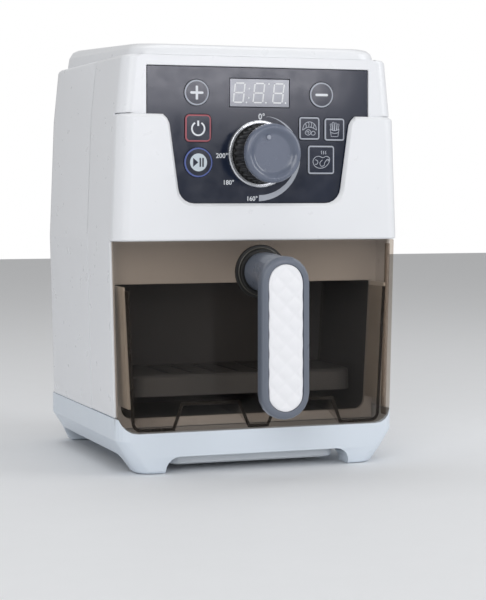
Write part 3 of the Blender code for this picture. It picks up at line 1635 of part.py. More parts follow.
def make_key_mat():
    """A rubber mat with a dome behind each key, cut away round the display and the dial."""
    board_near, _ = board_depths()
    far = board_near - SEAT_GAP
    mat_thick = 0.0007
    near = far - mat_thick
    margin = KEY_FLANGE + WALL
    half = KEYS[5][1] + KEYS[5][3] + margin
    low = KEYS[3][2] - KEYS[3][4] - margin / 2
    high = KEYS[0][2] + KEYS[0][4] + margin / 2
    window_half = WINDOW_HALF + 2 * WALL
    window_low = WINDOW_LOW - 2 * WALL
    outline = [
        (-half, low),
        (half, low),
        (half, high),
        (window_half, high),
        (window_half, window_low),
        (-window_half, window_low),
        (-window_half, high),
        (-half, high),
    ]
    dial_room = math.hypot(ENCODER_HALF, ENCODER_HALF) + 2 * SEAT_GAP
    dial_hole = corner((0.0, DIAL_Z), dial_room, 0, 4, ROUND_STEPS)[:-1]
    rubber = plastic("mat_rubber", (0.3, 0.3, 0.3), 0.8)
    mat = front_plate("key_mat", [outline, dial_hole], near, far, rubber)
    dome_top = PANEL_DEPTH + PANEL_THICK + SEAT_GAP + KEY_FLANGE_THICK + KEY_TRAVEL + SEAT_GAP
    for key in KEYS:
        _, x, z, half_w, _, _ = key
        place = (x, depth_y((near + far) / 2), z)
        length = (near + far) / 2 - dome_top
        dome = rod("dome", half_w / 2, place, (0, -1, 0), length, steps=12, far_radius=half_w / 3)
        unite(mat, dome)
    return mat


def make_keys():
    """Push keys: a cap in its hole and a flange that keeps it behind the panel."""
    back = PANEL_DEPTH + PANEL_THICK + SEAT_GAP
    edge = KEY_PROUD / 2
    for key in KEYS:
        name = key[0]
        rings = []
        for depth, grow in (
            (PANEL_DEPTH - KEY_PROUD, -edge),
            (PANEL_DEPTH - KEY_PROUD + edge, 0.0),
            (back, 0.0),
        ):
            rings.append([(x, depth_y(depth), z) for x, z in key_outline(key, grow)])
        for depth in (back, back + KEY_FLANGE_THICK):
            rings.append([(x, depth_y(depth), z) for x, z in key_outline(key, KEY_FLANGE)])
        loft(name, rings, plastic(name + "_navy", PANEL_NAVY, 0.15))


KNOB_RADIUS = 0.0163
KNOB_DRAW_IN = 0.0004
KNOB_HEIGHT = 0.0228
KNOB_LIFT = 0.0006
KNOB_CAP_HEIGHT = 0.0044
CAP_OVERHANG = 0.0002
RIM_CREST_SHARE = 0.87
DISH_SHARE = 0.66
RIM_DROP = 0.0018
KNOB_DISH = 0.0020
DISH_STEPS = 6
RING_WIDTH = 0.0025
RING_HEIGHT = 0.0017
POINTER_RADIUS = 0.0013
POINTER_SHARE = 0.55
POINTER_ANGLE = math.radians(16)
ENCODER_HALF = 0.0060


def make_dial():
    """Trim ring, knob, its coloured cap, the pointer, the shaft and the encoder behind the panel."""
    face = depth_y(PANEL_DEPTH)
    forward = (0, -1, 0)
    edge = RING_HEIGHT / 3
    inner = KNOB_RADIUS + SEAT_GAP
    outer = inner + RING_WIDTH
    ring_profile = [
        (inner + edge, RING_HEIGHT),
        (outer - edge, RING_HEIGHT),
        (outer, RING_HEIGHT - edge),
        (outer, 0.0),
        (inner, 0.0),
        (inner, RING_HEIGHT - edge),
        (inner + edge, RING_HEIGHT),
    ]
    ring_seat = (0.0, face - SEAT_GAP, DIAL_Z)
    ring_silver = plastic("ring_silver", SILVER, 0.2, 0.9)
    turned("dial_ring", ring_profile, ring_seat, forward, ring_silver, steps=40)
    bore = SHAFT_RADIUS + SEAT_GAP
    body_height = KNOB_HEIGHT - KNOB_CAP_HEIGHT - KNOB_LIFT
    bore_depth = body_height - WALL
    body_profile = [
        (0.0, body_height),
        (KNOB_RADIUS - KNOB_DRAW_IN, body_height),
        (KNOB_RADIUS, 0.0),
        (bore, 0.0),
        (bore, bore_depth),
        (0.0, bore_depth),
    ]
    knob_seat = (0.0, face - KNOB_LIFT, DIAL_Z)
    turned("knob_body", body_profile, knob_seat, forward, plastic("knob_black", DARK, 0.15), steps=40)
    cap_height = KNOB_CAP_HEIGHT - SEAT_GAP
    cap_radius = KNOB_RADIUS + CAP_OVERHANG
    crest = cap_radius * RIM_CREST_SHARE
    dish = cap_radius * DISH_SHARE
    floor = cap_height - KNOB_DISH
    cap_profile = [(0.0, floor)]
    for step in range(DISH_STEPS + 1):
        share = step / DISH_STEPS
        rise = (1 - math.cos(share * math.pi)) / 2
        cap_profile.append((mix(dish, crest, share), mix(floor, cap_height, rise)))
    edge_low = cap_height - RIM_DROP
    for across, up in reversed(corner((0, 0), 1, 0, 1)[:-1]):
        cap_profile.append((crest + (cap_radius - crest) * across, edge_low + RIM_DROP * up))
    cap_profile += [(cap_radius, 0.0), (0.0, 0.0)]
    cap_seat = (0.0, face - KNOB_LIFT - body_height - SEAT_GAP, DIAL_Z)
    knob_slate = plastic("knob_slate", (0.17, 0.19, 0.25), 0.3)
    cap = turned("knob_cap", cap_profile, cap_seat, forward, knob_slate, steps=40)
    dish_floor = cap_seat[1] - cap_height + KNOB_DISH
    pocket = KNOB_DISH / 2
    reach = cap_radius * POINTER_SHARE
    pointer_x = -reach * math.sin(POINTER_ANGLE)
    pointer_z = DIAL_Z + reach * math.cos(POINTER_ANGLE)
    pocket_start = (pointer_x, dish_floor + pocket + SEAT_GAP, pointer_z)
    pocket_radius = POINTER_RADIUS + SEAT_GAP
    pocket_length = pocket + CUT_OVERRUN
    cut(cap, rod("pointer_pocket", pocket_radius, pocket_start, forward, pocket_length, steps=16))
    pointer_start = (pointer_x, dish_floor + pocket, pointer_z)
    pointer_silver = plastic("pointer_silver", SILVER, 0.2, 0.9)
    rod("knob_pointer", POINTER_RADIUS, pointer_start, forward, pocket * 2, pointer_silver, steps=16)
    shaft_back = depth_y(PANEL_DEPTH + PANEL_THICK + BOARD_GAP / 2)
    shaft_length = shaft_back - (face - KNOB_LIFT - bore_depth + SEAT_GAP)
    shaft_start = (0.0, shaft_back, DIAL_Z)
    shaft_steel = plastic("shaft_steel", STEEL, 0.3, 1.0)
    rod("knob_shaft", SHAFT_RADIUS, shaft_start, forward, shaft_length, shaft_steel, steps=20)
    make_encoder(shaft_back + SEAT_GAP)


def make_encoder(bore_end):
    """The rotary switch that the shaft turns, its bush in the panel's hole."""
    back = PANEL_DEPTH + PANEL_THICK
    material = plastic("encoder_grey", GREY, 0.4)
    encoder = block(
        "dial_encoder",
        (-ENCODER_HALF, ENCODER_HALF),
        (back + SEAT_GAP, back + BOARD_GAP - SEAT_GAP),
        (DIAL_Z - ENCODER_HALF, DIAL_Z + ENCODER_HALF),
        material,
    )
    bush_start = (0.0, depth_y(back + BOARD_GAP / 2), DIAL_Z)
    bush_length = BOARD_GAP / 2 + PANEL_THICK
    unite(encoder, rod("bush", BUSH_RADIUS, bush_start, (0, -1, 0), bush_length, steps=20))
    bore_start = (0.0, bore_end, DIAL_Z)
    bore_length = BOARD_GAP + PANEL_THICK + CUT_OVERRUN
    bore_radius = SHAFT_RADIUS + SEAT_GAP
    cut(encoder, rod("bush_bore", bore_radius, bore_start, (0, -1, 0), bore_length, steps=20))


def carry(name, place, members):
    """An empty on a joint's axis that carries the pieces that move together and their cutters."""
    empty = bpy.data.objects.new(name, None)
    empty.location = place
    PARTS.objects.link(empty)
    bpy.context.view_layer.update()
    for member in members:
        item = bpy.data.objects[member]
        tools = [step.object for step in item.modifiers if step.type == "BOOLEAN"]
        for carried in [item, *tools]:
            carried.parent = empty
            carried.matrix_parent_inverse = empty.matrix_world.inverted()


def make_carriers():
    """Empties for the drawer, the tray, the dial and each key."""
    drawer = ["drawer_front", "drawer_bucket", "drawer_back"]
    drawer += ["handle_grip", "handle_insert", "handle_collar", "handle_screw_1", "handle_screw_2"]
    carry("drawer_slide", (0.0, depth_y(0.0), HANDLE_Z), drawer)
    carry("tray_lift", (0.0, depth_y((TRAY_NEAR + TRAY_FAR) / 2), TRAY_TOP), ["grill_tray"])
    dial = ["knob_body", "knob_cap", "knob_pointer", "knob_shaft"]
    carry("dial_axis", (0.0, depth_y(PANEL_DEPTH), DIAL_Z), dial)
    for name, x, z, *_ in KEYS:
        carry(name + "_press", (x, depth_y(PANEL_DEPTH), z), [name])


def main():
    make_base()
    make_bottom_cover()
    make_base_screws()
    make_battery_door()
    make_cells()
    make_front_housing()
    make_rear_housing()
    make_rear_screws()
    make_front_shroud()
    make_top_cap()
    make_cavity_liner()
    make_lamp()
    make_sound_board()
    make_speaker()
    make_drawer_front()
    make_drawer_bucket()
    make_drawer_back()
    make_handle()
    make_grill_tray()
    make_control_panel()
    make_display()
    make_control_board()
    make_key_mat()
    make_keys()
    make_dial()
    make_carriers()


main()
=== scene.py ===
# %% [markdown]
# # A toy air fryer
#
# The real toy is a box of white moulded shells. A dark control panel with a dial sits in its upper
# half, and a smoky see-through drawer with a handle slides out of its lower half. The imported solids
# already have the right sizes and joints, so this lesson only dresses them: finer edges, true
# finishes, printed signs and small detail. Everything is in metres, +Z up, with the front towards
# -Y.

import math

import bmesh
import bpy
from mathutils import Matrix, Vector


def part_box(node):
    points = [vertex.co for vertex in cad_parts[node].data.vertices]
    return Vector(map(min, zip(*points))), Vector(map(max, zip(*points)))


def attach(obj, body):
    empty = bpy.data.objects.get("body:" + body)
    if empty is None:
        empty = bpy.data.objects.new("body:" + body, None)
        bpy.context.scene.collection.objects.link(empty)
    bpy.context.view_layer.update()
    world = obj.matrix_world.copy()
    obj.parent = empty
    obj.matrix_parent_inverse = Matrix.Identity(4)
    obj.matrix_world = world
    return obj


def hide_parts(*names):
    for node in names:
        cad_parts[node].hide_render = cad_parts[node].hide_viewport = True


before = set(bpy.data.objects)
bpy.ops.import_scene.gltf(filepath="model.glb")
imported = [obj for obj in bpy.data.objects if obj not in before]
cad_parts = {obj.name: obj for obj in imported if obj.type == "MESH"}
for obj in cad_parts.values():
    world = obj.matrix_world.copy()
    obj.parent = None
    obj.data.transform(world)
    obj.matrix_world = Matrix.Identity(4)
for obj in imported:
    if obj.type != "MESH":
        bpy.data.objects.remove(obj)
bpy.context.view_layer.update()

# %% [markdown]
# ## Camera
#
# The photograph was taken from the left, level with the middle of the toy, with a long lens:
# upright edges stay upright in it. A level camera with a small downward shift gives the same
# picture, where a tilted one would make the sides lean together.

# %% Place the camera
PHOTO_HEIGHT = 600
FOCAL_PIXELS = 1784
HORIZON_PIXEL = 190
CAMERA_PLACE = (-0.3534, -1.0050, 0.1573)
CAMERA_TURN = math.radians(-20)
SENSOR = 36
NEAREST = 0.05

lens_data = bpy.data.cameras.new("camera")
lens_data.sensor_width = SENSOR
lens_data.lens = FOCAL_PIXELS / PHOTO_HEIGHT * SENSOR
lens_data.shift_y = -(PHOTO_HEIGHT / 2 - HORIZON_PIXEL) / PHOTO_HEIGHT
lens_data.clip_start = NEAREST
camera = bpy.data.objects.new("camera", lens_data)
bpy.context.scene.collection.objects.link(camera)
camera.location = CAMERA_PLACE
camera.rotation_euler = (math.pi / 2, 0, CAMERA_TURN)
bpy.context.scene.camera = camera
print("camera lens", round(lens_data.lens, 1), "mm")

# %% [markdown]
# ## Light and floor
#
# A product photograph has one wide soft light over the front and an even surround. The surround is
# the world, which the camera itself sees as plain white; large area lamps give the plastic its long
# soft highlights. A card in front only shows as the pale sheen on the glossy panel, so it sheds no
# light on anything. The floor is plain and pale and keeps the shadow.


# %% Set the light and the floor
SKY_COLOUR, SKY_STRENGTH = (1.0, 0.995, 0.985, 1), 0.46
FLOOR_HALF, FLOOR_DROP = 3, 0.0004


def area_lamp(name, place, target, size, power):
    """A rectangular lamp that looks from its place at a target."""
    data = bpy.data.lights.new(name, "AREA")
    data.shape = "RECTANGLE"
    data.size, data.size_y = size
    data.energy = power
    lamp = bpy.data.objects.new(name, data)
    bpy.context.scene.collection.objects.link(lamp)
    lamp.location = place
    lamp.rotation_euler = (Vector(target) - Vector(place)).to_track_quat("-Z", "Y").to_euler()
    return lamp


def mesh_of(bm, name, outward=True):
    """A new mesh from a bmesh, which is freed; outward turns its faces outwards first."""
    if outward:
        bmesh.ops.recalc_face_normals(bm, faces=bm.faces)
    mesh = bpy.data.meshes.new(name)
    bm.to_mesh(mesh)
    bm.free()
    return mesh


world = bpy.data.worlds.new("soft_room")
bpy.context.scene.world = world
world.use_nodes = True
world_nodes, world_links = world.node_tree.nodes, world.node_tree.links
sky = world_nodes["Background"]
room = world_nodes.new("ShaderNodeBackground")
seen = world_nodes.new("ShaderNodeLightPath")
choose = world_nodes.new("ShaderNodeMixShader")
for part, colour, strength in ((sky, SKY_COLOUR, SKY_STRENGTH), (room, (1, 1, 1, 1), 1.0)):
    part.inputs["Color"].default_value = colour
    part.inputs["Strength"].default_value = strength
world_links.new(seen.outputs["Is Camera Ray"], choose.inputs[0])
world_links.new(sky.outputs[0], choose.inputs[1])
world_links.new(room.outputs[0], choose.inputs[2])
world_links.new(choose.outputs[0], world_nodes["World Output"].inputs["Surface"])

area_lamp("front_light", (-0.75, -1.35, 0.75), (0, 0, 0.13), (0.9, 0.9), 7.6)
area_lamp("side_light", (1.1, -0.7, 0.7), (0, 0, 0.13), (0.6, 0.9), 5.7)
area_lamp("top_light", (0.0, 0.1, 1.3), (0, 0, 0.2), (1.0, 0.8), 3.4)
front_card = area_lamp("front_card", (0.54, -2.0, 0.45), (0, 0, 0.2), (0.66, 0.30), 3.3)
front_card.data.color = (0.96, 0.94, 1.0)
front_card.visible_diffuse = False
bpy.context.scene.view_settings.view_transform = "Standard"

floor_bm = bmesh.new()
bmesh.ops.create_grid(floor_bm, x_segments=1, y_segments=1, size=FLOOR_HALF)
bmesh.ops.translate(floor_bm, vec=(0, 0, -FLOOR_DROP), verts=floor_bm.verts)
floor_mesh = mesh_of(floor_bm, "floor", outward=False)
floor = bpy.data.objects.new("floor", floor_mesh)
bpy.context.scene.collection.objects.link(floor)

# %% [markdown]
# ## Moulded plastic
#
# Nearly every piece is injection moulded. Such a surface is never one flat colour: it has a faint
# cloudiness from the flow of the melt and a gloss that varies a little, and the duller pieces also
# have a very fine texture from the mould, which the polished white shells lack. One helper builds
# all three from noise on Object coordinates, so each finish only states its colour, gloss and
# grain.


# %% A helper for moulded finishes
def from_screen(red, green, blue):
    """A colour as a picture shows it, 0 to 255, turned into the linear values that materials take."""
    return tuple(
        part / 12.92 if part <= 0.04045 else ((part + 0.055) / 1.055) ** 2.4
        for part in (red / 255, green / 255, blue / 255)
    )


def new_material(name):
    """A node material; returns it with its nodes, its links and the place of each point."""
    material = bpy.data.materials.new(name)
    material.use_nodes = True
    nodes = material.node_tree.nodes
    return material, nodes, material.node_tree.links, nodes.new("ShaderNodeTexCoord")


def noise(nodes, links, place, scale, detail=2.0, stretch=None):
    """A noise texture on Object coordinates, drawn out along an axis if a stretch is given."""
    texture = nodes.new("ShaderNodeTexNoise")
    texture.inputs["Scale"].default_value = scale
    texture.inputs["Detail"].default_value = detail
    if stretch:
        mapping = nodes.new("ShaderNodeMapping")
        mapping.inputs["Scale"].default_value = stretch
        links.new(place.outputs["Object"], mapping.inputs["Vector"])
        links.new(mapping.outputs["Vector"], texture.inputs["Vector"])
    else:
        links.new(place.outputs["Object"], texture.inputs["Vector"])
    return texture


def clouded(nodes, links, flow, low, high):
    """A colour that drifts between two close ones, as a noise says."""
    tint = nodes.new("ShaderNodeMix")
    tint.data_type = "RGBA"
    tint.inputs["A"].default_value = (*low, 1)
    tint.inputs["B"].default_value = (*high, 1)
    links.new(flow.outputs["Fac"], tint.inputs["Factor"])
    return tint.outputs["Result"]


NOISE_LOW, NOISE_HIGH = 0.3, 0.7
WEAR_TIMES = 3
LEAST_GLOSS, COAT_GLOSS = 0.02, 0.06
GRAIN_DEPTH = 0.0002


def moulded(name, screen, gloss, metallic=0.0, coat=0.0, clear=0.0, cloud=0.03, cloud_scale=45.0,
            grain=0.05, grain_scale=1600.0, swing=0.05, stretch=None):
    """A finish with cloudy colour, uneven gloss and a fine grain; gloss is its roughness."""
    material, nodes, links, place = new_material(name)
    shader = nodes["Principled BSDF"]
    colour = from_screen(*screen)
    low = [part * (1 - cloud) for part in colour]
    high = [min(part * (1 + cloud), 1) for part in colour]
    tint = clouded(nodes, links, noise(nodes, links, place, cloud_scale), low, high)
    links.new(tint, shader.inputs["Base Color"])
    wear = noise(nodes, links, place, cloud_scale * WEAR_TIMES, 3.0, stretch)
    span = nodes.new("ShaderNodeMapRange")
    span.inputs["From Min"].default_value = NOISE_LOW
    span.inputs["From Max"].default_value = NOISE_HIGH
    span.inputs["To Min"].default_value = max(gloss - swing, LEAST_GLOSS)
    span.inputs["To Max"].default_value = min(gloss + swing, 1.0)
    links.new(wear.outputs["Fac"], span.inputs["Value"])
    links.new(span.outputs["Result"], shader.inputs["Roughness"])
    if grain:
        texture = noise(nodes, links, place, grain_scale, 2.0, stretch)
        bump = nodes.new("ShaderNodeBump")
        bump.inputs["Strength"].default_value = grain
        bump.inputs["Distance"].default_value = GRAIN_DEPTH
        links.new(texture.outputs["Fac"], bump.inputs["Height"])
        links.new(bump.outputs["Normal"], shader.inputs["Normal"])
    shader.inputs["Metallic"].default_value = metallic
    shader.inputs["Coat Weight"].default_value = coat
    shader.inputs["Coat Roughness"].default_value = COAT_GLOSS
    shader.inputs["Transmission Weight"].default_value = clear
    return material


# %% [markdown]
# ## Smoky clear plastic
#
# The drawer's front and its bucket are clear mouldings, dyed a smoky brown in the front and hardly
# at all in the bucket. What is behind them shows without blur, only darker, and light passes it
# twice: on its way in and on its way out. So its surface is a tinted Transparent shader under a
# sharp gloss that grows at flat angles. Layer Weight's Facing gives that share alike on both sides
# of a wall, where Fresnel would take the inner side for the inside of thick glass and turn it into
# a mirror. A refracting shader would need far more samples for less.


# %% The smoky finish
SMOKE_SCALE = 22
SMOKE_GLOSS = 0.05
SHEEN_COLOUR = (0.9, 0.9, 0.9, 1)
SHEEN_BLEND, SHEEN_LEAST = 0.03, 0.003


def smoky(name, low, high):
    """Clear dyed plastic: tint of what shows through one surface, between two close values."""
    material, nodes, links, place = new_material(name)
    nodes.remove(nodes["Principled BSDF"])
    through = nodes.new("ShaderNodeBsdfTransparent")
    tint = clouded(nodes, links, noise(nodes, links, place, SMOKE_SCALE, 1.0), low, high)
    links.new(tint, through.inputs["Color"])
    sheen = nodes.new("ShaderNodeBsdfGlossy")
    sheen.inputs["Roughness"].default_value = SMOKE_GLOSS
    sheen.inputs["Color"].default_value = SHEEN_COLOUR
    edge = nodes.new("ShaderNodeLayerWeight")
    edge.inputs["Blend"].default_value = SHEEN_BLEND
    share = nodes.new("ShaderNodeMapRange")
    share.inputs["To Min"].default_value = SHEEN_LEAST
    links.new(edge.outputs["Facing"], share.inputs["Value"])
    layers = nodes.new("ShaderNodeMixShader")
    links.new(share.outputs["Result"], layers.inputs[0])
    links.new(through.outputs[0], layers.inputs[1])
    links.new(sheen.outputs[0], layers.inputs[2])
    links.new(layers.outputs[0], nodes["Material Output"].inputs["Surface"])
    return material


# %% The toy's finishes
FINISH = {
    "shell": moulded("white_shell", (238, 240, 244), 0.32, coat=0.1, cloud=0.008, grain=0),
    "base": moulded("white_base", (222, 231, 241), 0.38, coat=0.1, cloud=0.012, grain=0),
    "cover": moulded("white_cover", (226, 232, 238), 0.42, cloud=0.02, grain=0.1),
    "panel": moulded("panel_navy", (20, 30, 50), 0.15, coat=0.12, cloud=0.04, grain=0.004),
    "smoke": smoky("smoky_clear", (0.755, 0.716, 0.676), (0.780, 0.740, 0.700)),
    "smoke_thin": smoky("smoky_thin", (0.955, 0.945, 0.935), (0.970, 0.960, 0.950)),
    "liner": moulded("liner_dark", (106, 113, 123), 0.5, grain=0.0),
    "sleeve": moulded("sleeve_white", (248, 247, 244), 0.5, cloud=0.01, grain=0.0),
    "slate": moulded("grip_slate", (104, 111, 124), 0.32, coat=0.1, cloud=0.03),
    "insert": moulded("quilt_white", (243, 244, 248), 0.42, cloud=0.01, grain=0.05, grain_scale=2600),
    "collar": moulded("collar_dark", (7, 7, 6), 0.45),
    # painted highlight: a lighter grey for the thin ring that stands for the light caught at the collar's
    # step
    "line": moulded("collar_line", (84, 82, 76), 0.3, coat=0.1),
    "seam": moulded("seam_dark", (20, 18, 17), 0.3, cloud=0.1),
    "tray": moulded("tray_grey", (104, 110, 118), 0.42, cloud=0.04, grain=0.0),
    "ring": moulded("ring_silver", (214, 217, 222), 0.2, metallic=0.85, stretch=(1, 12, 1), swing=0.08),
    "knob": moulded("knob_black", (6, 7, 9), 0.42, grain=0.0),
    "dot": moulded("dot_grey", (150, 156, 170), 0.3, coat=0.1, cloud=0.02),
    "cap": moulded("cap_slate", (98, 106, 124), 0.24, coat=0.35, cloud=0.02),
    "window": moulded("window_grey", (152, 155, 165), 0.18, coat=0.4, cloud=0.02),
    "module": moulded("module_white", (205, 205, 203), 0.5),
    "segment": moulded("segment_white", (232, 234, 236), 0.4, cloud=0.01),
    "print": moulded("print_white", (226, 230, 236), 0.45, cloud=0.02),
    "outline": moulded("print_silver", (176, 181, 192), 0.4, cloud=0.03),
    "red": moulded("print_red", (170, 94, 104), 0.45, cloud=0.03),
    "blue": moulded("print_blue", (90, 106, 168), 0.45, cloud=0.03),
    "disc": moulded("print_disc", (208, 220, 228), 0.45, cloud=0.02),
    "steel": moulded("steel_plated", (188, 190, 194), 0.28, metallic=1.0, stretch=(1, 1, 20), swing=0.1),
    "board": moulded("board_green", (34, 98, 58), 0.42, coat=0.3, cloud=0.25, cloud_scale=420),
    "jacket": moulded("cell_jacket", (40, 54, 92), 0.25, metallic=0.5, cloud=0.1, cloud_scale=90),
    "rubber": moulded("mat_rubber", (120, 120, 122), 0.75, grain=0.2),
    "speaker": moulded("speaker_grey", (96, 98, 102), 0.4, metallic=0.4, cloud=0.08),
    "lamp": moulded("lamp_amber", (255, 214, 170), 0.12, clear=0.85, cloud=0.02),
}
pale = moulded("pale_floor", (236, 238, 241), 0.6, cloud=0.01, grain=0.02, grain_scale=300)
floor_mesh.materials.append(pale)
print("finishes:", len(FINISH))

# %% [markdown]
# ## Softened solids
#
# A moulded edge is never knife sharp. Most shells already have their true shape in the packed
# solids, so a copy is welded, its flat areas are cleaned, and a narrow Bevel rounds every sharp
# edge before smooth shading. This keeps holes and seats exactly where they are, where modelling the
# shell again might move them. A flat area with a hole in it can't be merged into one face, so a few
# cuts run through the solid first and their edges are kept. Shells whose rounding is in the solid
# already, such as the rear housing and the base, only get welded: width 0.


# %% Helpers for pieces
CUTS = [((0, 1, 0), 0.5)] + [((1, 0, 0), share) for share in (0.2, 0.35, 0.5, 0.65, 0.8)]
WELD, CUT_REACH = 0.000004, 0.000002
FLAT_ANGLE, EDGE_ANGLE = math.radians(0.4), math.radians(30)
SPARED_REACH = 0.0005
SHARP, WELDED_SHARP = 35, 20
FLAT_WEIGHT = 80


def baked(holder):
    """The mesh that an object's modifiers make; the object itself is removed."""
    bpy.context.view_layer.update()
    mesh = bpy.data.meshes.new_from_object(holder.evaluated_get(bpy.context.evaluated_depsgraph_get()))
    bpy.data.objects.remove(holder, do_unlink=True)
    return mesh


def as_holder(data):
    """An object that holds a mesh or a curve until it is baked."""
    holder = bpy.data.objects.new("holder", data)
    bpy.context.scene.collection.objects.link(holder)
    return holder


def add_piece(name, mesh, finish, body, stands_for=(), sharp=SHARP):
    """Link a finished mesh, give it its finish and let it ride on its body."""
    mesh.materials.clear()
    mesh.materials.append(FINISH[finish])
    for face in mesh.polygons:
        face.material_index = 0
    mesh.shade_smooth()
    mesh.set_sharp_from_angle(angle=math.radians(sharp))
    holder = as_holder(mesh)
    flatten = holder.modifiers.new("flat_faces_stay_flat", "WEIGHTED_NORMAL")
    flatten.keep_sharp = True
    flatten.weight = FLAT_WEIGHT
    piece = bpy.data.objects.new(name, baked(holder))
    bpy.context.scene.collection.objects.link(piece)
    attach(piece, body)
    if stands_for:
        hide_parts(*stands_for)
    print(f"{name}: {len(piece.data.polygons)} faces")
    return piece


def welded(solid):
    """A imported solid's loose triangles, merged where they meet."""
    bm = bmesh.new()
    bm.from_mesh(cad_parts[solid].data)
    bmesh.ops.remove_doubles(bm, verts=bm.verts, dist=WELD)
    return bm


def softened(solid, width, segments=2, spared=()):
    """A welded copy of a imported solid; a width rounds its sharp edges, but for those at a spared height."""
    bm = welded(solid)
    low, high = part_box(solid)
    for normal, share in CUTS if width else ():
        place = [low[axis] + (high[axis] - low[axis]) * share for axis in range(3)]
        whole = bm.verts[:] + bm.edges[:] + bm.faces[:]
        cut = bmesh.ops.bisect_plane(bm, geom=whole, dist=CUT_REACH, plane_co=place, plane_no=normal)
        for item in cut["geom_cut"]:
            if isinstance(item, bmesh.types.BMEdge):
                item.seam = True
    if width:
        bmesh.ops.dissolve_limit(
            bm, angle_limit=FLAT_ANGLE, verts=bm.verts, edges=bm.edges, delimit={"SEAM"}
        )
        edges = [
            edge for edge in bm.edges
            if edge.calc_face_angle(0) > EDGE_ANGLE and not any(
                all(abs(vert.co.z - height) < SPARED_REACH for vert in edge.verts) for height in spared)
        ]
        bmesh.ops.bevel(bm, geom=edges, offset=width, offset_type="OFFSET", segments=segments,
                        profile=0.5, affect="EDGES", clamp_overlap=False)
    return mesh_of(bm, solid + "_soft", outward=False)


def dress(name, solid, width, finish, body, segments=2):
    """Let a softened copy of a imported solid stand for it."""
    return add_piece(name, softened(solid, width, segments), finish, body, [solid])


# %% The white shells and the underside
HOOD_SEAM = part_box("top_cap")[0].z
HOOD_WIDTH, HOOD_RIM, HOOD_DROP = 0.0006, 0.0001, 0.00022
SHELLS = (
    ("housing_front", "front_housing", "shell", 0.0005),
    ("housing_rear", "rear_housing", "shell", 0),
    ("shroud", "front_shroud", "shell", 0.0004),
    ("plinth", "base", "base", 0),
    ("plinth_cover", "bottom_cover", "cover", 0),
    ("cell_door", "battery_door", "cover", 0.0003),
)
for name, solid, finish, width in SHELLS:
    mesh = softened(solid, width, spared=(HOOD_SEAM,))
    add_piece(name, mesh, finish, "housing", [solid], SHARP if width else WELDED_SHARP)

hood = softened("top_cap", HOOD_WIDTH, segments=3, spared=(HOOD_SEAM,))
for vertex in hood.vertices:
    if vertex.co.z < HOOD_SEAM + HOOD_RIM:
        vertex.co.z -= HOOD_DROP
add_piece("hood", hood, "shell", "housing", ["top_cap"])
dress("cavity", "cavity_liner", 0.0003, "liner", "housing")
dress("panel", "control_panel", 0.0002, "panel", "housing")
dress("window", "display_window", 0.0002, "window", "housing")

# %% [markdown]
# ## The drawer
#
# The bucket behind the smoky front is thin clear plastic, which hardly dims what lies behind it.

# %% The drawer's smoky walls, back and tray
dress("smoky_front", "drawer_front", 0.0003, "smoke", "drawer")
bucket = dress("smoky_bucket", "drawer_bucket", 0.0003, "smoke_thin", "drawer")
bucket.visible_shadow = False
dress("drawer_rear", "drawer_back", 0.0003, "liner", "drawer")
dress("grill", "grill_tray", 0.0004, "tray", "tray")

# %% [markdown]
# ## The dark seam of the bucket
#
# The bucket is welded to the drawer's front, and seen edge on its wall looks nearly black, because
# the eye looks along the dyed plastic instead of through it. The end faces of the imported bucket
# have just that outline, pads and troughs included, so a thin dark strip grows from them, spread a
# little to cover the mouth's edge.

# %% Grow the seam from the bucket's end
SEAM_SPREAD, SEAM_DEPTH, SEAM_REACH = 1.016, 0.00018, 0.00001
bm = welded("drawer_bucket")
front_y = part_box("drawer_bucket")[0].y
others = [face for face in bm.faces if any(vert.co.y > front_y + SEAM_REACH for vert in face.verts)]
bmesh.ops.delete(bm, geom=others, context="FACES")
bmesh.ops.dissolve_limit(bm, angle_limit=FLAT_ANGLE, verts=bm.verts, edges=bm.edges)
for face in bm.faces:
    if face.normal.y > 0:
        face.normal_flip()
ends = bmesh.ops.extrude_face_region(bm, geom=bm.faces[:], use_keep_orig=True)
pushed = [item for item in ends["geom"] if isinstance(item, bmesh.types.BMVert)]
bmesh.ops.translate(bm, vec=(0, -SEAM_DEPTH, 0), verts=pushed)
bmesh.ops.scale(bm, vec=(SEAM_SPREAD, 1, 1), verts=bm.verts)
add_piece("bucket_seam", mesh_of(bm, "bucket_seam"), "seam", "drawer")

# %% [markdown]
# ## The white mouth behind the front
#
# Beside the bucket, just behind the clear front, the photograph shows a pale wall where the dark
# cavity has not begun yet. Two thin white walls follow the bucket's slanting sides there, each a
# slanted box.


# %% The two walls of the mouth
MOUTH_LOW, MOUTH_HIGH = 0.036, 0.1035
MOUTH_FOOT, MOUTH_HEAD = 0.0747, 0.0782
MOUTH_WALL = 0.0012
MOUTH_NEAR, MOUTH_FAR = -0.0580, -0.0388


def slanted_wall(side):
    """A thin upright wall beside the bucket: corners given from its foot to its head."""
    bm = bmesh.new()
    rows = []
    for z, inner in ((MOUTH_LOW, MOUTH_FOOT), (MOUTH_HIGH, MOUTH_HEAD)):
        outer = inner + MOUTH_WALL
        outline = ((inner, MOUTH_NEAR), (outer, MOUTH_NEAR), (outer, MOUTH_FAR), (inner, MOUTH_FAR))
        rows.append([bm.verts.new((side * x, y, z)) for x, y in outline])
    foot, head = rows
    bm.faces.new(foot)
    bm.faces.new(head)
    for step in range(4):
        after = (step + 1) % 4
        bm.faces.new((foot[step], foot[after], head[after], head[step]))
    return mesh_of(bm, "mouth_wall")


add_piece("mouth_wall_left", slanted_wall(-1), "sleeve", "housing")
add_piece("mouth_wall_right", slanted_wall(1), "sleeve", "housing")

# %% [markdown]
# ## Handle
#
# The grip, with the round neck that carries it, is one slate moulding. Where the neck meets the
# drawer it stands in a dark stepped collar, a flange with a sleeve in front of it, which is spun
# from a profile.


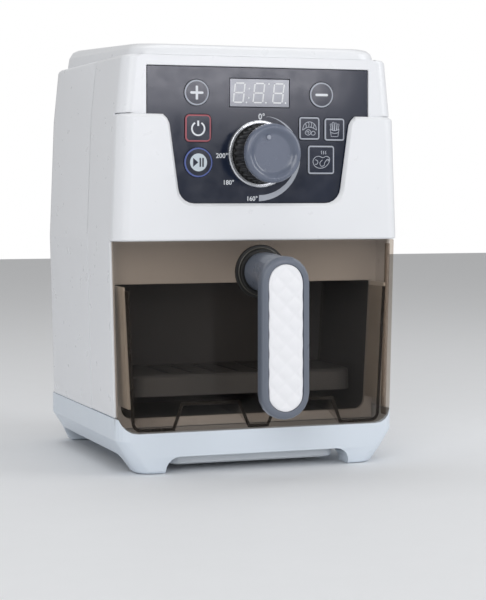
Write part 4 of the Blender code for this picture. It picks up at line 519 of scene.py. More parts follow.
# %% The grip and its stepped collar
def spun(profile, place, steps=64, closed=False):
    """A solid of rings (radius, y) round the front-to-back line through a place; closed joins its ends."""
    bm = bmesh.new()
    rings = []
    for radius, y in profile:
        angles = [2 * math.pi * step / steps for step in range(steps)] if radius else [0]
        rings.append([
            bm.verts.new((place.x + radius * math.cos(angle), y, place.z + radius * math.sin(angle)))
            for angle in angles
        ])
    for one, two in zip(rings, rings[1:] + (rings[:1] if closed else [])):
        for step in range(steps):
            after = (step + 1) % steps
            near = [one[turn % len(one)] for turn in (step, after)]
            far = [two[turn % len(two)] for turn in (after, step)]
            corners = list(dict.fromkeys(near + far))
            if len(corners) > 2:
                bm.faces.new(corners)
    return mesh_of(bm, "spun")


COLLAR_LOW, COLLAR_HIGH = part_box("handle_collar")
collar_middle = (COLLAR_LOW + COLLAR_HIGH) / 2
dress("grip", "handle_grip", 0.0004, "slate", "drawer", segments=3)

SLEEVE_INSET, BORE_INSET, FLANGE_THICK = 0.0022, 0.0041, 0.0018
FLANGE_ROUND, FOOT_ROUND, SLEEVE_ROUND = 0.0005, 0.0003, 0.0006
flange = (COLLAR_HIGH.x - COLLAR_LOW.x) / 2
sleeve, bore = flange - SLEEVE_INSET, flange - BORE_INSET
back, front = COLLAR_HIGH.y, COLLAR_LOW.y
step_y = back - FLANGE_THICK
collar_profile = [
    (bore, back), (flange, back), (flange, step_y + FLANGE_ROUND), (flange - FLANGE_ROUND, step_y),
    (sleeve + FOOT_ROUND, step_y), (sleeve, step_y - FOOT_ROUND), (sleeve, front + SLEEVE_ROUND),
    (sleeve - SLEEVE_ROUND, front), (bore, front),
]
collar = spun(collar_profile, collar_middle, closed=True)
add_piece("neck_collar", collar, "collar", "drawer", ["handle_collar"])

# A thin lighter ring where the flange steps down to the sleeve is a painted highlight: it stands for the
# light caught along that edge of the dark collar.
HIGHLIGHT_REACH, HIGHLIGHT_HALF, HIGHLIGHT_SIDES = 0.0004, 0.0003, 8
highlight_radius = sleeve + HIGHLIGHT_REACH
highlight_profile = []
for side in range(HIGHLIGHT_SIDES):
    angle = 2 * math.pi * side / HIGHLIGHT_SIDES
    highlight_profile.append((highlight_radius + HIGHLIGHT_HALF * math.cos(angle), step_y + HIGHLIGHT_HALF * math.sin(angle)))
add_piece("collar_line", spun(highlight_profile, collar_middle, closed=True), "line", "drawer")

# %% [markdown]
# ## Trees that repeat a form
#
# Ribs, screws, display bars and the quilt all follow a rule, so each has its own Geometry Nodes
# tree. A tree takes its sizes through named inputs and ends in Realize Instances and Set Material.
# `grown` gives a tree its values and keeps only the mesh that comes out.


# %% Helpers for the trees
JOIN_REACH = 0.0000005


def new_tree(name, sizes):
    """A node group with named size inputs; returns it with its input and output nodes."""
    tree = bpy.data.node_groups.new(name, "GeometryNodeTree")
    tree.interface.new_socket("Geometry", in_out="INPUT", socket_type="NodeSocketGeometry")
    for label, value in sizes.items():
        kind = "NodeSocketInt" if isinstance(value, int) else "NodeSocketFloat"
        tree.interface.new_socket(label, in_out="INPUT", socket_type=kind).default_value = value
    tree.interface.new_socket("Material", in_out="INPUT", socket_type="NodeSocketMaterial")
    tree.interface.new_socket("Geometry", in_out="OUTPUT", socket_type="NodeSocketGeometry")
    return tree, tree.nodes.new("NodeGroupInput"), tree.nodes.new("NodeGroupOutput")


def feed(tree, value, socket):
    """Link a value that is a socket, or set any other on the socket that it is for."""
    if isinstance(value, bpy.types.NodeSocket):
        tree.links.new(value, socket)
    else:
        socket.default_value = value


def node(tree, kind, **values):
    """A new node; a value that is a socket is linked, any other is set on the input of that name."""
    made = tree.nodes.new(kind)
    for label, value in values.items():
        if hasattr(made, label):
            setattr(made, label, value)
            continue
        feed(tree, value, next(
            socket for socket in made.inputs if socket.name.replace(" ", "_") == label and socket.enabled))
    return made


def sum_of(tree, operation, *values):
    """A Math node of the values, each a socket or a number."""
    made = tree.nodes.new("ShaderNodeMath")
    made.operation = operation
    for socket, value in zip(made.inputs, values):
        feed(tree, value, socket)
    return made.outputs[0]


def along_z(tree, value):
    """A vector that points up by the value."""
    return node(tree, "ShaderNodeCombineXYZ", Z=value).outputs[0]


def close_tree(tree, start, end, geometry):
    """Realize the instances, set the material and end the tree."""
    real = node(tree, "GeometryNodeRealizeInstances", Geometry=geometry)
    painted = node(tree, "GeometryNodeSetMaterial", Geometry=real.outputs[0],
                   Material=start.outputs["Material"])
    tree.links.new(painted.outputs[0], end.inputs["Geometry"])
    return tree


def grown(tree, mesh, finish, **sizes):
    """The plain mesh that a tree makes from a mesh, with its inputs set before it is evaluated."""
    holder = as_holder(mesh)
    growth = holder.modifiers.new("growth", "NODES")
    growth.node_group = tree
    values = {**sizes, "Material": FINISH[finish]}
    for item in tree.interface.items_tree:
        label = item.name.replace(" ", "_")
        if item.in_out == "INPUT" and label in values:
            growth[item.identifier] = values[label]
    return baked(holder)


def points_mesh(places, **marks):
    """A mesh of loose points, with a number for each where a mark is given."""
    mesh = bpy.data.meshes.new("points")
    mesh.from_pydata(places, [], [])
    for label, values in marks.items():
        mesh.attributes.new(label, "FLOAT", "POINT").data.foreach_set("value", values)
    return mesh


def joined(*meshes):
    """One mesh of several, doubles merged and faces turned outwards."""
    bm = bmesh.new()
    for mesh in meshes:
        bm.from_mesh(mesh)
    bmesh.ops.remove_doubles(bm, verts=bm.verts, dist=JOIN_REACH)
    return mesh_of(bm, "joined")


# %% [markdown]
# ## Quilted grip insert
#
# The white insert of the grip is pressed with a soft diamond quilt, and its edge waves a little
# where the puffs end. A fine grid is laid over the pill shape, so that a tree can lift each point
# by two crossed waves, and the lift fades out at the rim, where the insert dives into the grip.


# %% The quilt tree
def quilt_tree():
    """Lift the front of a plate in diamonds; the mark 'inside' is 0 at the rim and 1 further in."""
    tree, start, end = new_tree("quilt", {"Puff": 0.0005, "Diamond": 0.008})
    split = node(tree, "ShaderNodeSeparateXYZ", Vector=node(tree, "GeometryNodeInputPosition").outputs[0])
    across, up = split.outputs["X"], split.outputs["Z"]
    size = start.outputs["Diamond"]
    waves = []
    for diagonal in (sum_of(tree, "ADD", across, up), sum_of(tree, "SUBTRACT", across, up)):
        turn = sum_of(tree, "MULTIPLY", sum_of(tree, "DIVIDE", diagonal, size), math.pi)
        waves.append(sum_of(tree, "ABSOLUTE", sum_of(tree, "SINE", turn)))
    pattern = sum_of(tree, "POWER", sum_of(tree, "MULTIPLY", *waves), 0.5)
    inside = node(tree, "GeometryNodeInputNamedAttribute", data_type="FLOAT", Name="inside").outputs[0]
    lift = sum_of(tree, "MULTIPLY", sum_of(tree, "MULTIPLY", pattern, inside), start.outputs["Puff"])
    forward = node(tree, "ShaderNodeCombineXYZ", Y=sum_of(tree, "MULTIPLY", lift, -1.0))
    moved = node(tree, "GeometryNodeSetPosition", Geometry=start.outputs["Geometry"],
                 Offset=forward.outputs[0])
    return close_tree(tree, start, end, moved.outputs[0])


# %% The insert
INSERT_LOW, INSERT_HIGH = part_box("handle_insert")
INSERT_PUFF, INSERT_WAVE = 0.0006, 0.00011
DIAMOND = 0.0105
RIM_FADE, LEAST_WIDTH = 0.0022, 0.00002
COLUMNS, ROWS = 36, 130


def insert_plate():
    """A pill-shaped plate on a grid, its long edges waving with the quilt."""
    low, high = INSERT_LOW, INSERT_HIGH
    half, middle = (high.x - low.x) / 2, (high.x + low.x) / 2
    near, far = low.y + INSERT_PUFF, high.y
    bm = bmesh.new()
    marks, rows = [], []
    for row in range(ROWS + 1):
        turn = math.pi * row / ROWS
        z = (low.z + high.z) / 2 - (high.z - low.z) / 2 * math.cos(turn)
        reach = min(z - low.z, high.z - z)
        room = half if reach >= half else math.sqrt(max(half * half - (half - reach) ** 2, 0))
        room = max(room - INSERT_WAVE * (1 - math.cos(2 * math.pi * z / DIAMOND)), LEAST_WIDTH)
        line = []
        for column in range(COLUMNS + 1):
            share = -math.cos(math.pi * column / COLUMNS)
            rim = min(room * (1 - abs(share)), reach if reach < half else half)
            marks.append(min(rim / RIM_FADE, 1.0) ** 0.5)
            line.append(bm.verts.new((middle + room * share, near, z)))
        rows.append(line)
    for under, over in zip(rows, rows[1:]):
        for left in range(COLUMNS):
            bm.faces.new((under[left], under[left + 1], over[left + 1], over[left]))
    sides = bmesh.ops.extrude_face_region(bm, geom=bm.faces[:])
    pushed = [item for item in sides["geom"] if isinstance(item, bmesh.types.BMVert)]
    bmesh.ops.translate(bm, vec=(0, far - near, 0), verts=pushed)
    bm.verts.index_update()
    marks += [0.0] * (len(bm.verts) - len(marks))
    mesh = mesh_of(bm, "insert_plate", outward=False)
    mesh.attributes.new("inside", "FLOAT", "POINT").data.foreach_set("value", marks)
    return mesh


insert = joined(grown(quilt_tree(), insert_plate(), "insert", Puff=INSERT_PUFF, Diamond=DIAMOND))
add_piece("grip_insert", insert, "insert", "drawer", ["handle_insert"], sharp=60)

# %% [markdown]
# ## Dial
#
# The dial is a black knob with fine grip ribs under a slate cap with a shallow dish. Cap and core
# are spun from their profiles; the ribs are one bar repeated round a circle, which is what
# instances are for. They stand half sunk in the slimmer core, so that the ribbed knob keeps the
# solid's outer size.


# %% Ribs round the knob
def rib_tree():
    """Upright bars on a circle, turned so that they run front to back."""
    tree, start, end = new_tree("rib_ring", {"Count": 40, "Ring": 0.0154, "Rib": 0.0008, "Length": 0.014})
    count, ring, rib, length = (start.outputs[label] for label in ("Count", "Ring", "Rib", "Length"))
    circle = node(tree, "GeometryNodeMeshCircle", Vertices=count, Radius=ring)
    bar = node(tree, "GeometryNodeMeshCylinder", Vertices=16, Radius=rib, Depth=length)
    copies = node(tree, "GeometryNodeInstanceOnPoints", Points=circle.outputs[0], Instance=bar.outputs[0])
    turned = node(tree, "GeometryNodeTransform", Geometry=copies.outputs[0], Rotation=(math.pi / 2, 0, 0))
    return close_tree(tree, start, end, turned.outputs[0])


KNOB_LOW, KNOB_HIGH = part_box("knob_body")
RIB_COUNT, RIB_RADIUS, RIB_SINK, RIB_SHARE = 30, 0.0012, 0.0008, 0.96
LIP_START, LIP_END = 0.0012, 0.0010
SHAFT_RADIUS, SHAFT_END = 0.0034, 0.004
knob_radius = (KNOB_HIGH.x - KNOB_LOW.x) / 2
knob_middle = (KNOB_LOW + KNOB_HIGH) / 2
front, back = KNOB_LOW.y, KNOB_HIGH.y
bars = grown(rib_tree(), points_mesh([]), "knob", Count=RIB_COUNT, Ring=knob_radius - RIB_RADIUS,
             Rib=RIB_RADIUS, Length=(back - front) * RIB_SHARE)
bars.transform(Matrix.Translation(knob_middle))
core_radius = knob_radius - RIB_SINK
core_profile = [
    (0, front), (core_radius, front), (core_radius, back - LIP_START), (knob_radius, back - LIP_END),
    (knob_radius, back), (SHAFT_RADIUS, back), (SHAFT_RADIUS, front + SHAFT_END), (0, front + SHAFT_END),
]
core = spun(core_profile, knob_middle)
add_piece("dial_body", joined(core, bars), "knob", "dial", ["knob_body"])

# %% The rest of the dial
dress("trim_ring", "dial_ring", 0.0002, "ring", "housing")
CAP_LOW, CAP_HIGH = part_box("knob_cap")
cap_radius = (CAP_HIGH.x - CAP_LOW.x) / 2
CREST_SHARE, DISH_SHARE, DISH_DEPTH, RIM_DROP = 0.87, 0.62, 0.0020, 0.0018
DISH_STEPS, RIM_STEPS, CAP_FOOT = 14, 8, 0.0003
cap_profile = [(0, CAP_LOW.y + DISH_DEPTH)]
for step in range(DISH_STEPS + 1):
    share = step / DISH_STEPS
    rise = (1 - math.cos(share * math.pi)) / 2
    cap_profile.append((cap_radius * (DISH_SHARE + (CREST_SHARE - DISH_SHARE) * share),
                        CAP_LOW.y + DISH_DEPTH * (1 - rise)))
for step in range(1, RIM_STEPS + 1):
    angle = math.pi / 2 * (1 - step / RIM_STEPS)
    cap_profile.append((cap_radius * (CREST_SHARE + (1 - CREST_SHARE) * math.cos(angle)),
                        CAP_LOW.y + RIM_DROP * (1 - math.sin(angle))))
cap_profile += [(cap_radius, CAP_HIGH.y - CAP_FOOT), (cap_radius - CAP_FOOT, CAP_HIGH.y), (0, CAP_HIGH.y)]
cap = spun(cap_profile, knob_middle, steps=96)
add_piece("dial_face", cap, "cap", "dial", ["knob_cap"], sharp=50)
dress("dial_dot", "knob_pointer", 0.0002, "dot", "dial")

# %% [markdown]
# ## Keys and their prints
#
# Each key is a dark cap with a printed outline that rolls over its edge, and a sign in the middle.
# Print is ink, far thinner than a sheet of paper, but a picture needs something to see: so every
# print is a plate of a few hundredths of a millimetre that lies on the key and rides on it.


# %% Helpers for prints
PRINT_LIFT = 0.00004
BAND_REACH = 0.0000001


def rounded_loop(x, z, wide, tall, radius, steps=8):
    """Points of a rounded box in the front view, anticlockwise."""
    radius = min(radius, wide, tall)
    points = []
    for turn, (sx, sz) in enumerate(((1, 1), (-1, 1), (-1, -1), (1, -1))):
        for step in range(steps + 1):
            angle = (turn + step / steps) * math.pi / 2
            points.append((x + sx * (wide - radius) + radius * math.cos(angle),
                           z + sz * (tall - radius) + radius * math.sin(angle)))
    return points


def band(rings):
    """A closed ribbon through rings of (x, y, z) points, the last joined to the first."""
    bm = bmesh.new()
    rows = [[bm.verts.new(point) for point in ring] for ring in rings]
    count = len(rings[0])
    for one, two in zip(rows, rows[1:] + rows[:1]):
        for index in range(count):
            after = (index + 1) % count
            bm.faces.new((one[index], one[after], two[after], two[index]))
    bmesh.ops.remove_doubles(bm, verts=bm.verts, dist=BAND_REACH)
    return mesh_of(bm, "band")


def inked(loop, face_y):
    """A flat print: an outline in the front view, as a thin plate on a face."""
    bm = bmesh.new()
    near = [bm.verts.new((x, face_y - PRINT_LIFT, z)) for x, z in loop]
    far = [bm.verts.new((x, face_y + PRINT_LIFT, z)) for x, z in loop]
    bm.faces.new(near)
    bm.faces.new(far[::-1])
    for index in range(len(loop)):
        after = (index + 1) % len(loop)
        bm.faces.new((near[index], far[index], far[after], near[after]))
    return mesh_of(bm, "inked")


def flowing(points, closed=False, steps=5):
    """A smooth line through points, by the Catmull-Rom rule."""
    count = len(points)
    spans = count if closed else count - 1
    line = []
    for index in range(spans):
        picks = [index - 1, index, index + 1, index + 2]
        if closed:
            a, b, c, d = (Vector(points[pick % count]) for pick in picks)
        else:
            a, b, c, d = (Vector(points[min(max(pick, 0), count - 1)]) for pick in picks)
        for step in range(steps):
            t = step / steps
            line.append((2 * b + (c - a) * t + (2 * a - 5 * b + 4 * c - d) * t * t
                         + (3 * b - a - 3 * c + d) * t ** 3) / 2)
    if not closed:
        line.append(Vector(points[-1]))
    return line


def drawn(strokes, width, face_y):
    """Printed line art: each stroke is (points, closed) in the front view; flattened tubes on a face."""
    curve = bpy.data.curves.new("strokes", "CURVE")
    curve.dimensions = "3D"
    curve.bevel_depth = width / 2
    curve.bevel_resolution = 1
    curve.use_fill_caps = True
    for points, closed in strokes:
        spline = curve.splines.new("POLY")
        spline.points.add(len(points) - 1)
        for point, (x, z) in zip(spline.points, points):
            point.co = (x, 0, z, 1)
        spline.use_cyclic_u = closed
    mesh = baked(as_holder(curve))
    flat = Matrix.Diagonal((1, PRINT_LIFT / (width / 2), 1, 1))
    mesh.transform(Matrix.Translation((0, face_y, 0)) @ flat)
    return mesh


# %% The key caps and their outlines
KEY_CORNERS = {"plus": 1, "minus": 1, "power": 0.0026, "start": 1, "bakery": 0.0016, "chips": 0.0016,
               "roast": 0.0016}
OUTLINE_FINISH = {"power": "red", "start": "blue"}
OUTLINE_WIDTH = 0.00055
KEY_FLANGE, KEY_EDGE, KEY_SOFTNESS = 0.0010, 0.0003, 0.00012
OUTLINE_RINGS = (
    (KEY_EDGE + OUTLINE_WIDTH, -PRINT_LIFT), (KEY_EDGE, -PRINT_LIFT), (-PRINT_LIFT, KEY_EDGE),
    (PRINT_LIFT, KEY_EDGE + PRINT_LIFT), (KEY_EDGE + OUTLINE_WIDTH, PRINT_LIFT),
)
key_places = {}
for key, corner in KEY_CORNERS.items():
    name = "key_" + key
    low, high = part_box(name)
    x, z = (low.x + high.x) / 2, (low.z + high.z) / 2
    wide, tall = (high.x - low.x) / 2 - KEY_FLANGE, (high.z - low.z) / 2 - KEY_FLANGE
    key_places[key] = (x, z, wide, tall, low.y)
    dress("push_" + key, name, KEY_SOFTNESS, "panel", key + "_key")
    rings = []
    for inset, back in OUTLINE_RINGS:
        loop = rounded_loop(x, z, wide - inset, tall - inset, min(corner, wide, tall) - inset)
        rings.append([(px, low.y + back, pz) for px, pz in loop])
    add_piece(key + "_outline", band(rings), OUTLINE_FINISH.get(key, "outline"), key + "_key")

# %% Plus, minus, power and start signs
SIGN_HALF, SIGN_THICK, SIGN_ROUND = 0.0039, 0.0007, 0.0003
for key, ways in (("minus", ()), ("plus", (1, -1))):
    x, z, _, _, face_y = key_places[key]
    signs = [inked(rounded_loop(x, z, SIGN_HALF, SIGN_THICK, SIGN_THICK), face_y)]
    for way in ways:
        middle = z + way * (SIGN_HALF + SIGN_THICK) / 2
        arm = rounded_loop(x, middle, SIGN_THICK, (SIGN_HALF - SIGN_THICK) / 2, SIGN_ROUND)
        signs.append(inked(arm, face_y))
    add_piece(key + "_sign", joined(*signs), "print", key + "_key")

POWER_RADIUS, POWER_GAP, POWER_STEPS = 0.0037, math.radians(30), 40
POWER_DROP, POWER_STEM, POWER_LINE = 0.0003, (0.0012, 0.0042), 0.0011
x, z, _, _, face_y = key_places["power"]
arc = []
for step in range(POWER_STEPS + 1):
    angle = math.pi / 2 + POWER_GAP + (2 * math.pi - 2 * POWER_GAP) * step / POWER_STEPS
    arc.append((x + POWER_RADIUS * math.cos(angle), z - POWER_DROP + POWER_RADIUS * math.sin(angle)))
stem = [(x, z + height) for height in POWER_STEM]
power_sign = drawn([(arc, False), (stem, False)], POWER_LINE, face_y)
add_piece("power_sign", power_sign, "print", "power_key")

DISC_RADIUS, START_HALF = 0.0050, 0.0025
PLAY_FOOT, PLAY_TIP = 0.0032, 0.0002
PAUSE_PLACES, PAUSE_HALF, PAUSE_ROUND = (0.0010, 0.0026), 0.00045, 0.0001
x, z, _, _, face_y = key_places["start"]
disc = inked(rounded_loop(x, z, DISC_RADIUS, DISC_RADIUS, DISC_RADIUS, steps=10), face_y)
add_piece("start_disc", disc, "disc", "start_key")
over = face_y - PRINT_LIFT
play = inked([(x - PLAY_FOOT, z + START_HALF), (x - PLAY_FOOT, z - START_HALF), (x - PLAY_TIP, z)], over)
bars = [inked(rounded_loop(x + place, z, PAUSE_HALF, START_HALF, PAUSE_ROUND), over)
        for place in PAUSE_PLACES]
add_piece("start_sign", joined(play, *bars), "panel", "start_key")

# %% [markdown]
# ## Food drawings
#
# Three keys carry little line drawings: a croissant, a cup of fries and a roast. They are drawn
# here as a few strokes each, in units of half the key, before a thin tube follows them. The
# croissant and the roast are made smooth first, while the fries stay straight.

# %% Draw the foods
DRAWINGS = {
    "bakery": [
        ([(-0.85, -0.2), (-0.68, 0.38), (-0.2, 0.7), (0.3, 0.66), (0.72, 0.34), (0.86, -0.18)], False),
        ([(-0.85, -0.2), (-0.5, 0.02), (-0.1, 0.14), (0.3, 0.1), (0.6, -0.02), (0.86, -0.18)], False),
        ([(-0.52, 0.54), (-0.4, 0.3), (-0.42, 0.06)], False),
        ([(-0.14, 0.71), (-0.06, 0.42), (-0.12, 0.14)], False),
        ([(0.24, 0.68), (0.26, 0.4), (0.18, 0.12)], False),
        ([(0.58, 0.48), (0.54, 0.24), (0.46, 0.04)], False),
        ([(-0.5, -0.4), (-0.2, -0.14), (0.14, -0.3), (0.1, -0.62), (-0.22, -0.74), (-0.48, -0.6)], True),
        ([(-0.36, -0.44), (-0.16, -0.32), (-0.06, -0.46), (-0.2, -0.58)], False),
        ([(0.2, -0.5), (0.46, -0.3), (0.7, -0.46), (0.6, -0.7), (0.3, -0.72)], True),
    ],
    "chips": [
        ([(-0.56, 0.06), (-0.42, -0.78), (0.42, -0.78), (0.56, 0.06)], False),
        ([(-0.56, 0.06), (-0.28, -0.08), (0.0, -0.12), (0.28, -0.08), (0.56, 0.06)], False),
        ([(-0.46, 0.02), (-0.56, 0.6), (-0.36, 0.66), (-0.28, -0.04)], False),
        ([(-0.24, -0.04), (-0.28, 0.8), (-0.08, 0.82), (-0.06, -0.08)], False),
        ([(0.0, -0.08), (0.02, 0.74), (0.2, 0.74), (0.22, -0.06)], False),
        ([(0.28, -0.04), (0.36, 0.66), (0.56, 0.6), (0.48, 0.04)], False),
        ([(-0.48, -0.34), (0.0, -0.44), (0.48, -0.34)], False),
    ],
    "roast": [
        ([(-0.78, -0.14), (-0.6, 0.2), (-0.22, 0.32), (0.16, 0.2), (0.5, 0.32), (0.8, 0.14), (0.7, -0.3),
          (0.3, -0.66), (-0.26, -0.72), (-0.64, -0.5)], True),
        ([(0.12, 0.0), (-0.12, -0.26), (-0.02, -0.54), (0.26, -0.5), (0.36, -0.2), (0.56, 0.04)], False),
        ([(-0.56, 0.02), (-0.34, -0.1), (-0.36, -0.34), (-0.58, -0.4)], False),
        ([(0.56, 0.04), (0.7, 0.06), (0.72, -0.06), (0.6, -0.08)], False),
        ([(0.0, 0.5), (0.06, 0.6), (0.0, 0.7), (0.06, 0.8)], False),
        ([(0.2, 0.5), (0.26, 0.6), (0.2, 0.7), (0.26, 0.8)], False),
        ([(0.4, 0.5), (0.46, 0.6), (0.4, 0.7), (0.46, 0.8)], False),
    ],
}
STRAIGHT = {"chips"}
DRAWING_SHARE, DRAWING_LINE = 0.80, 0.00042
for key, drawing in DRAWINGS.items():
    x, z, wide, tall, face_y = key_places[key]
    strokes = []
    for points, closed in drawing:
        line = points if key in STRAIGHT else flowing(points, closed)
        placed = [(x + px * wide * DRAWING_SHARE, z + pz * tall * DRAWING_SHARE) for px, pz in line]
        strokes.append((placed, closed))
    line_art = drawn(strokes, DRAWING_LINE, face_y)
    add_piece(key + "_drawing", line_art, "outline", key + "_key")

# %% [markdown]
# ## Panel prints
#
# Round the dial stand the temperatures and a crescent that grows from a hairline at the top to a
# broad end at the bottom. The display shows three leaning digits, whose bars repeat one form at
# points that carry their turn, with small round dots between and below them.

# %% The temperatures and the crescent
PANEL_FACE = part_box("control_panel")[0].y
DIAL_PLACE = knob_middle
LETTER_WEIGHT = 0.018
LABELS = (
    ("0°", 0.0012, 0.0209, 0.0046),
    ("200°", -0.0226, -0.0013, 0.0038),
    ("180°", -0.0187, -0.0163, 0.0036),
    ("160°", -0.0046, -0.0254, 0.0036),
)


def lettered(words, x, z, size, face_y):
    """Flat letters in the front view, turned to a mesh before they are placed."""
    text = bpy.data.curves.new("words", "FONT")
    text.body = words
    text.size = size
    text.align_x = "CENTER"
    text.align_y = "CENTER"
    text.extrude = PRINT_LIFT
    text.offset = size * LETTER_WEIGHT
    text.resolution_u = 4
    mesh = baked(as_holder(text))
    mesh.transform(Matrix.Translation((x, face_y, z)) @ Matrix.Rotation(math.pi / 2, 4, "X"))
    return mesh


labels = [lettered(words, DIAL_PLACE.x + dx, DIAL_PLACE.z + dz, size, PANEL_FACE)
          for words, dx, dz, size in LABELS]
add_piece("temperatures", joined(*labels), "print", "housing")

CRESCENT_START, CRESCENT_END = math.radians(79), math.radians(-91)
CRESCENT_INNER, CRESCENT_OUTER, CRESCENT_STEPS = (0.0212, 0.0021, 0.4), (0.0214, 0.0053, 0.665), 60
inner_side, outer_side = [], []
for step in range(CRESCENT_STEPS + 1):
    share = step / CRESCENT_STEPS
    angle = CRESCENT_START + (CRESCENT_END - CRESCENT_START) * share
    for side, (start, growth, power) in ((inner_side, CRESCENT_INNER), (outer_side, CRESCENT_OUTER)):
        radius = start + growth * share ** power
        side.append((DIAL_PLACE.x + radius * math.cos(angle), DIAL_PLACE.z + radius * math.sin(angle)))
corners = ((inner_side, 1), (outer_side, 1), (outer_side, -1), (inner_side, -1))
bm = bmesh.new()
rows = [[bm.verts.new((x, PANEL_FACE + way * PRINT_LIFT, z)) for x, z in side] for side, way in corners]
for one, two in zip(rows, rows[1:] + rows[:1]):
    for index in range(CRESCENT_STEPS):
        bm.faces.new((one[index], one[index + 1], two[index + 1], two[index]))
for end in (0, -1):
    bm.faces.new([row[end] for row in rows])
add_piece("crescent", mesh_of(bm, "crescent"), "outline", "housing")


# %% The display digits
def bar_tree():
    """A bar at each point, turned by the point's mark, the whole leaning to the right."""
    tree, start, end = new_tree(
        "digit_bars", {"Length": 0.0048, "Width": 0.0009, "Thick": 0.0001, "Lean": 0.12})
    length, thick, width = (start.outputs[label] for label in ("Length", "Thick", "Width"))
    size = node(tree, "ShaderNodeCombineXYZ", X=length, Y=thick, Z=width)
    bar = node(tree, "GeometryNodeMeshCube", Size=size.outputs[0])
    mark = node(tree, "GeometryNodeInputNamedAttribute", data_type="FLOAT", Name="turn").outputs[0]
    turn = node(tree, "ShaderNodeCombineXYZ", Y=mark)
    copies = node(tree, "GeometryNodeInstanceOnPoints", Points=start.outputs["Geometry"],
                  Instance=bar.outputs[0], Rotation=turn.outputs[0])
    real = node(tree, "GeometryNodeRealizeInstances", Geometry=copies.outputs[0])
    split = node(tree, "ShaderNodeSeparateXYZ", Vector=node(tree, "GeometryNodeInputPosition").outputs[0])
    lean = sum_of(tree, "MULTIPLY", split.outputs["Z"], start.outputs["Lean"])
    shift = node(tree, "ShaderNodeCombineXYZ", X=lean)
    leaning = node(tree, "GeometryNodeSetPosition", Geometry=real.outputs[0], Offset=shift.outputs[0])
    return close_tree(tree, start, end, leaning.outputs[0])


WINDOW_LOW, WINDOW_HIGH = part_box("display_window")
DIGIT_STEP, DIGIT_WIDE, DIGIT_HALF = 0.0118, 0.0058, 0.0054
DIGIT_LEFT = -0.0123
BAR_LENGTH, BAR_WIDTH = 0.0047, 0.0008
DOT_RADIUS = 0.0005
DOTS = (
    (-0.0062, 0.0024), (-0.0066, -0.0028), (0.0056, 0.0052), (-0.0080, -0.0054), (0.0038, -0.0054),
    (0.0156, -0.0054),
)
places, turns = [], []
for digit in range(3):
    x = DIGIT_LEFT + DIGIT_STEP * digit
    for level in (-1, 0, 1):
        places.append((x, 0, DIGIT_HALF * level))
        turns.append(0.0)
    for side in (-1, 1):
        for level in (-0.5, 0.5):
            places.append((x + side * DIGIT_WIDE / 2, 0, DIGIT_HALF * level))
            turns.append(math.pi / 2)
segments = grown(bar_tree(), points_mesh(places, turn=turns), "segment", Length=BAR_LENGTH, Width=BAR_WIDTH,
                 Thick=2 * PRINT_LIFT)
window_z = (WINDOW_LOW.z + WINDOW_HIGH.z) / 2
segments.transform(Matrix.Translation((0, WINDOW_LOW.y, window_z)))
dots = [inked(rounded_loop(x, window_z + z, DOT_RADIUS, DOT_RADIUS, DOT_RADIUS, steps=3), WINDOW_LOW.y)
        for x, z in DOTS]
add_piece("digits", joined(segments, *dots), "segment", "housing")

# %% [markdown]
# ## Screws
#
# Small pan-head screws with a crossed recess hold the shells, the base, the battery door, the
# boards and the neck of the handle. One tree makes such a screw, cuts its cross and sets a copy at
# each point that it is given.


# %% The screw tree
HEAD_SIDES, SHANK_SIDES, DOME_RINGS = 28, 16, 12
DOME_SHARE = 0.985
SLOT_REACH, SLOT_HEIGHT, SHANK_OVERLAP = 1.15, 0.98, -0.499


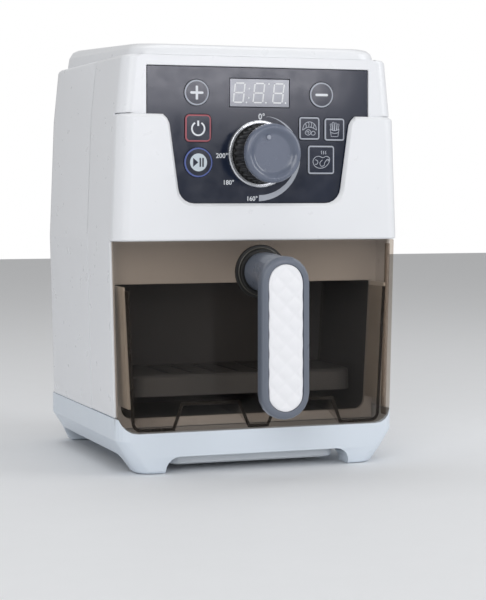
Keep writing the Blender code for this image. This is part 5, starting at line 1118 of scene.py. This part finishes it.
def screw_tree():
    """A domed head with a crossed recess and a shank, at each point, turned as the inputs say."""
    tree, start, end = new_tree("crossed_screws", {
        "Head": 0.0026, "Rise": 0.0016, "Shank": 0.0013, "Length": 0.010, "Slot": 0.0007, "Turn X": 0.0})
    radius, rise = start.outputs["Head"], start.outputs["Rise"]
    length, slot = start.outputs["Length"], start.outputs["Slot"]
    half_rise = sum_of(tree, "MULTIPLY", rise, 0.5)
    head = node(tree, "GeometryNodeMeshCylinder", Vertices=HEAD_SIDES, Radius=radius, Depth=half_rise)
    seated = node(tree, "GeometryNodeTransform", Geometry=head.outputs[0],
                  Translation=along_z(tree, sum_of(tree, "MULTIPLY", rise, 0.25)))
    dome = node(tree, "GeometryNodeMeshUVSphere", Segments=HEAD_SIDES, Rings=DOME_RINGS, Radius=radius)
    flat = node(tree, "ShaderNodeCombineXYZ", X=DOME_SHARE, Y=DOME_SHARE,
                Z=sum_of(tree, "DIVIDE", half_rise, radius))
    pan = node(tree, "GeometryNodeTransform", Geometry=dome.outputs[0], Scale=flat.outputs[0],
               Translation=along_z(tree, half_rise))
    both = node(tree, "GeometryNodeMeshBoolean", operation="UNION")
    tree.links.new(seated.outputs[0], both.inputs[1])
    tree.links.new(pan.outputs[0], both.inputs[1])
    solid = both.outputs[0]
    reach = sum_of(tree, "MULTIPLY", radius, SLOT_REACH)
    for x_size, y_size in ((reach, slot), (slot, reach)):
        size = node(tree, "ShaderNodeCombineXYZ", X=x_size, Y=y_size, Z=rise)
        blade = node(tree, "GeometryNodeMeshCube", Size=size.outputs[0])
        raised = node(tree, "GeometryNodeTransform", Geometry=blade.outputs[0],
                      Translation=along_z(tree, sum_of(tree, "MULTIPLY", rise, SLOT_HEIGHT)))
        carved = node(tree, "GeometryNodeMeshBoolean", operation="DIFFERENCE")
        tree.links.new(solid, carved.inputs[0])
        tree.links.new(raised.outputs[0], carved.inputs[1])
        solid = carved.outputs[0]
    shank = node(tree, "GeometryNodeMeshCylinder", Vertices=SHANK_SIDES, Radius=start.outputs["Shank"],
                 Depth=length)
    lowered = node(tree, "GeometryNodeTransform", Geometry=shank.outputs[0],
                   Translation=along_z(tree, sum_of(tree, "MULTIPLY", length, SHANK_OVERLAP)))
    whole = node(tree, "GeometryNodeJoinGeometry")
    tree.links.new(solid, whole.inputs[0])
    tree.links.new(lowered.outputs[0], whole.inputs[0])
    turn = node(tree, "ShaderNodeCombineXYZ", X=start.outputs["Turn X"])
    copies = node(tree, "GeometryNodeInstanceOnPoints", Points=start.outputs["Geometry"],
                  Instance=whole.outputs[0], Rotation=turn.outputs[0])
    return close_tree(tree, start, end, copies.outputs[0])


# %% Set the screws
SCREWS = screw_tree()
SETS = (
    ("rear_screws", [f"rear_screw_{number}" for number in range(1, 5)], "housing", 1, 1),
    ("base_screws", [f"base_screw_{number}" for number in range(1, 5)], "housing", 2, -1),
    ("door_screw", ["battery_door_screw"], "housing", 2, -1),
    ("board_screws", ["board_screw_1", "board_screw_2"], "housing", 1, 1),
    ("neck_screws", ["handle_screw_1", "handle_screw_2"], "drawer", 1, 1),
)
HEAD_RISE = 0.0016
TURN = {(1, 1): -math.pi / 2, (2, -1): math.pi}
for name, nodes, body, axis, way in SETS:
    seats = []
    for screw in nodes:
        low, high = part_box(screw)
        seat = (low + high) / 2
        seat[axis] = (high if way > 0 else low)[axis] - way * HEAD_RISE
        seats.append(seat)
    whole = (high - low)[axis]
    crossed = grown(SCREWS, points_mesh(seats), "steel", Length=whole - HEAD_RISE, Turn_X=TURN[axis, way])
    add_piece(name, crossed, "steel", body, nodes)

# %% [markdown]
# ## Hidden works
#
# The cells and their contacts, the boards, the display's module, the key mat, the dial's shaft and
# encoder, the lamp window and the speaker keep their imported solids, because nothing outside shows
# their edges. They still get their own finishes, so that an opened toy looks right.

# %% Finishes for the solids that stay
HIDDEN = {
    "steel": ["battery_contact_left", "battery_contact_right", "knob_shaft"],
    "jacket": ["battery_cell_1", "battery_cell_2", "battery_cell_3"],
    "board": ["control_board", "sound_board", "lamp_board"],
    "module": ["display_module"],
    "rubber": ["key_mat"],
    "speaker": ["speaker", "dial_encoder"],
    "lamp": ["lamp_window_lens"],
}
for finish, nodes in HIDDEN.items():
    for name in nodes:
        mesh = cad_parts[name].data
        mesh.materials.clear()
        mesh.materials.append(FINISH[finish])
print("hidden pieces:", sum(len(nodes) for nodes in HIDDEN.values()))
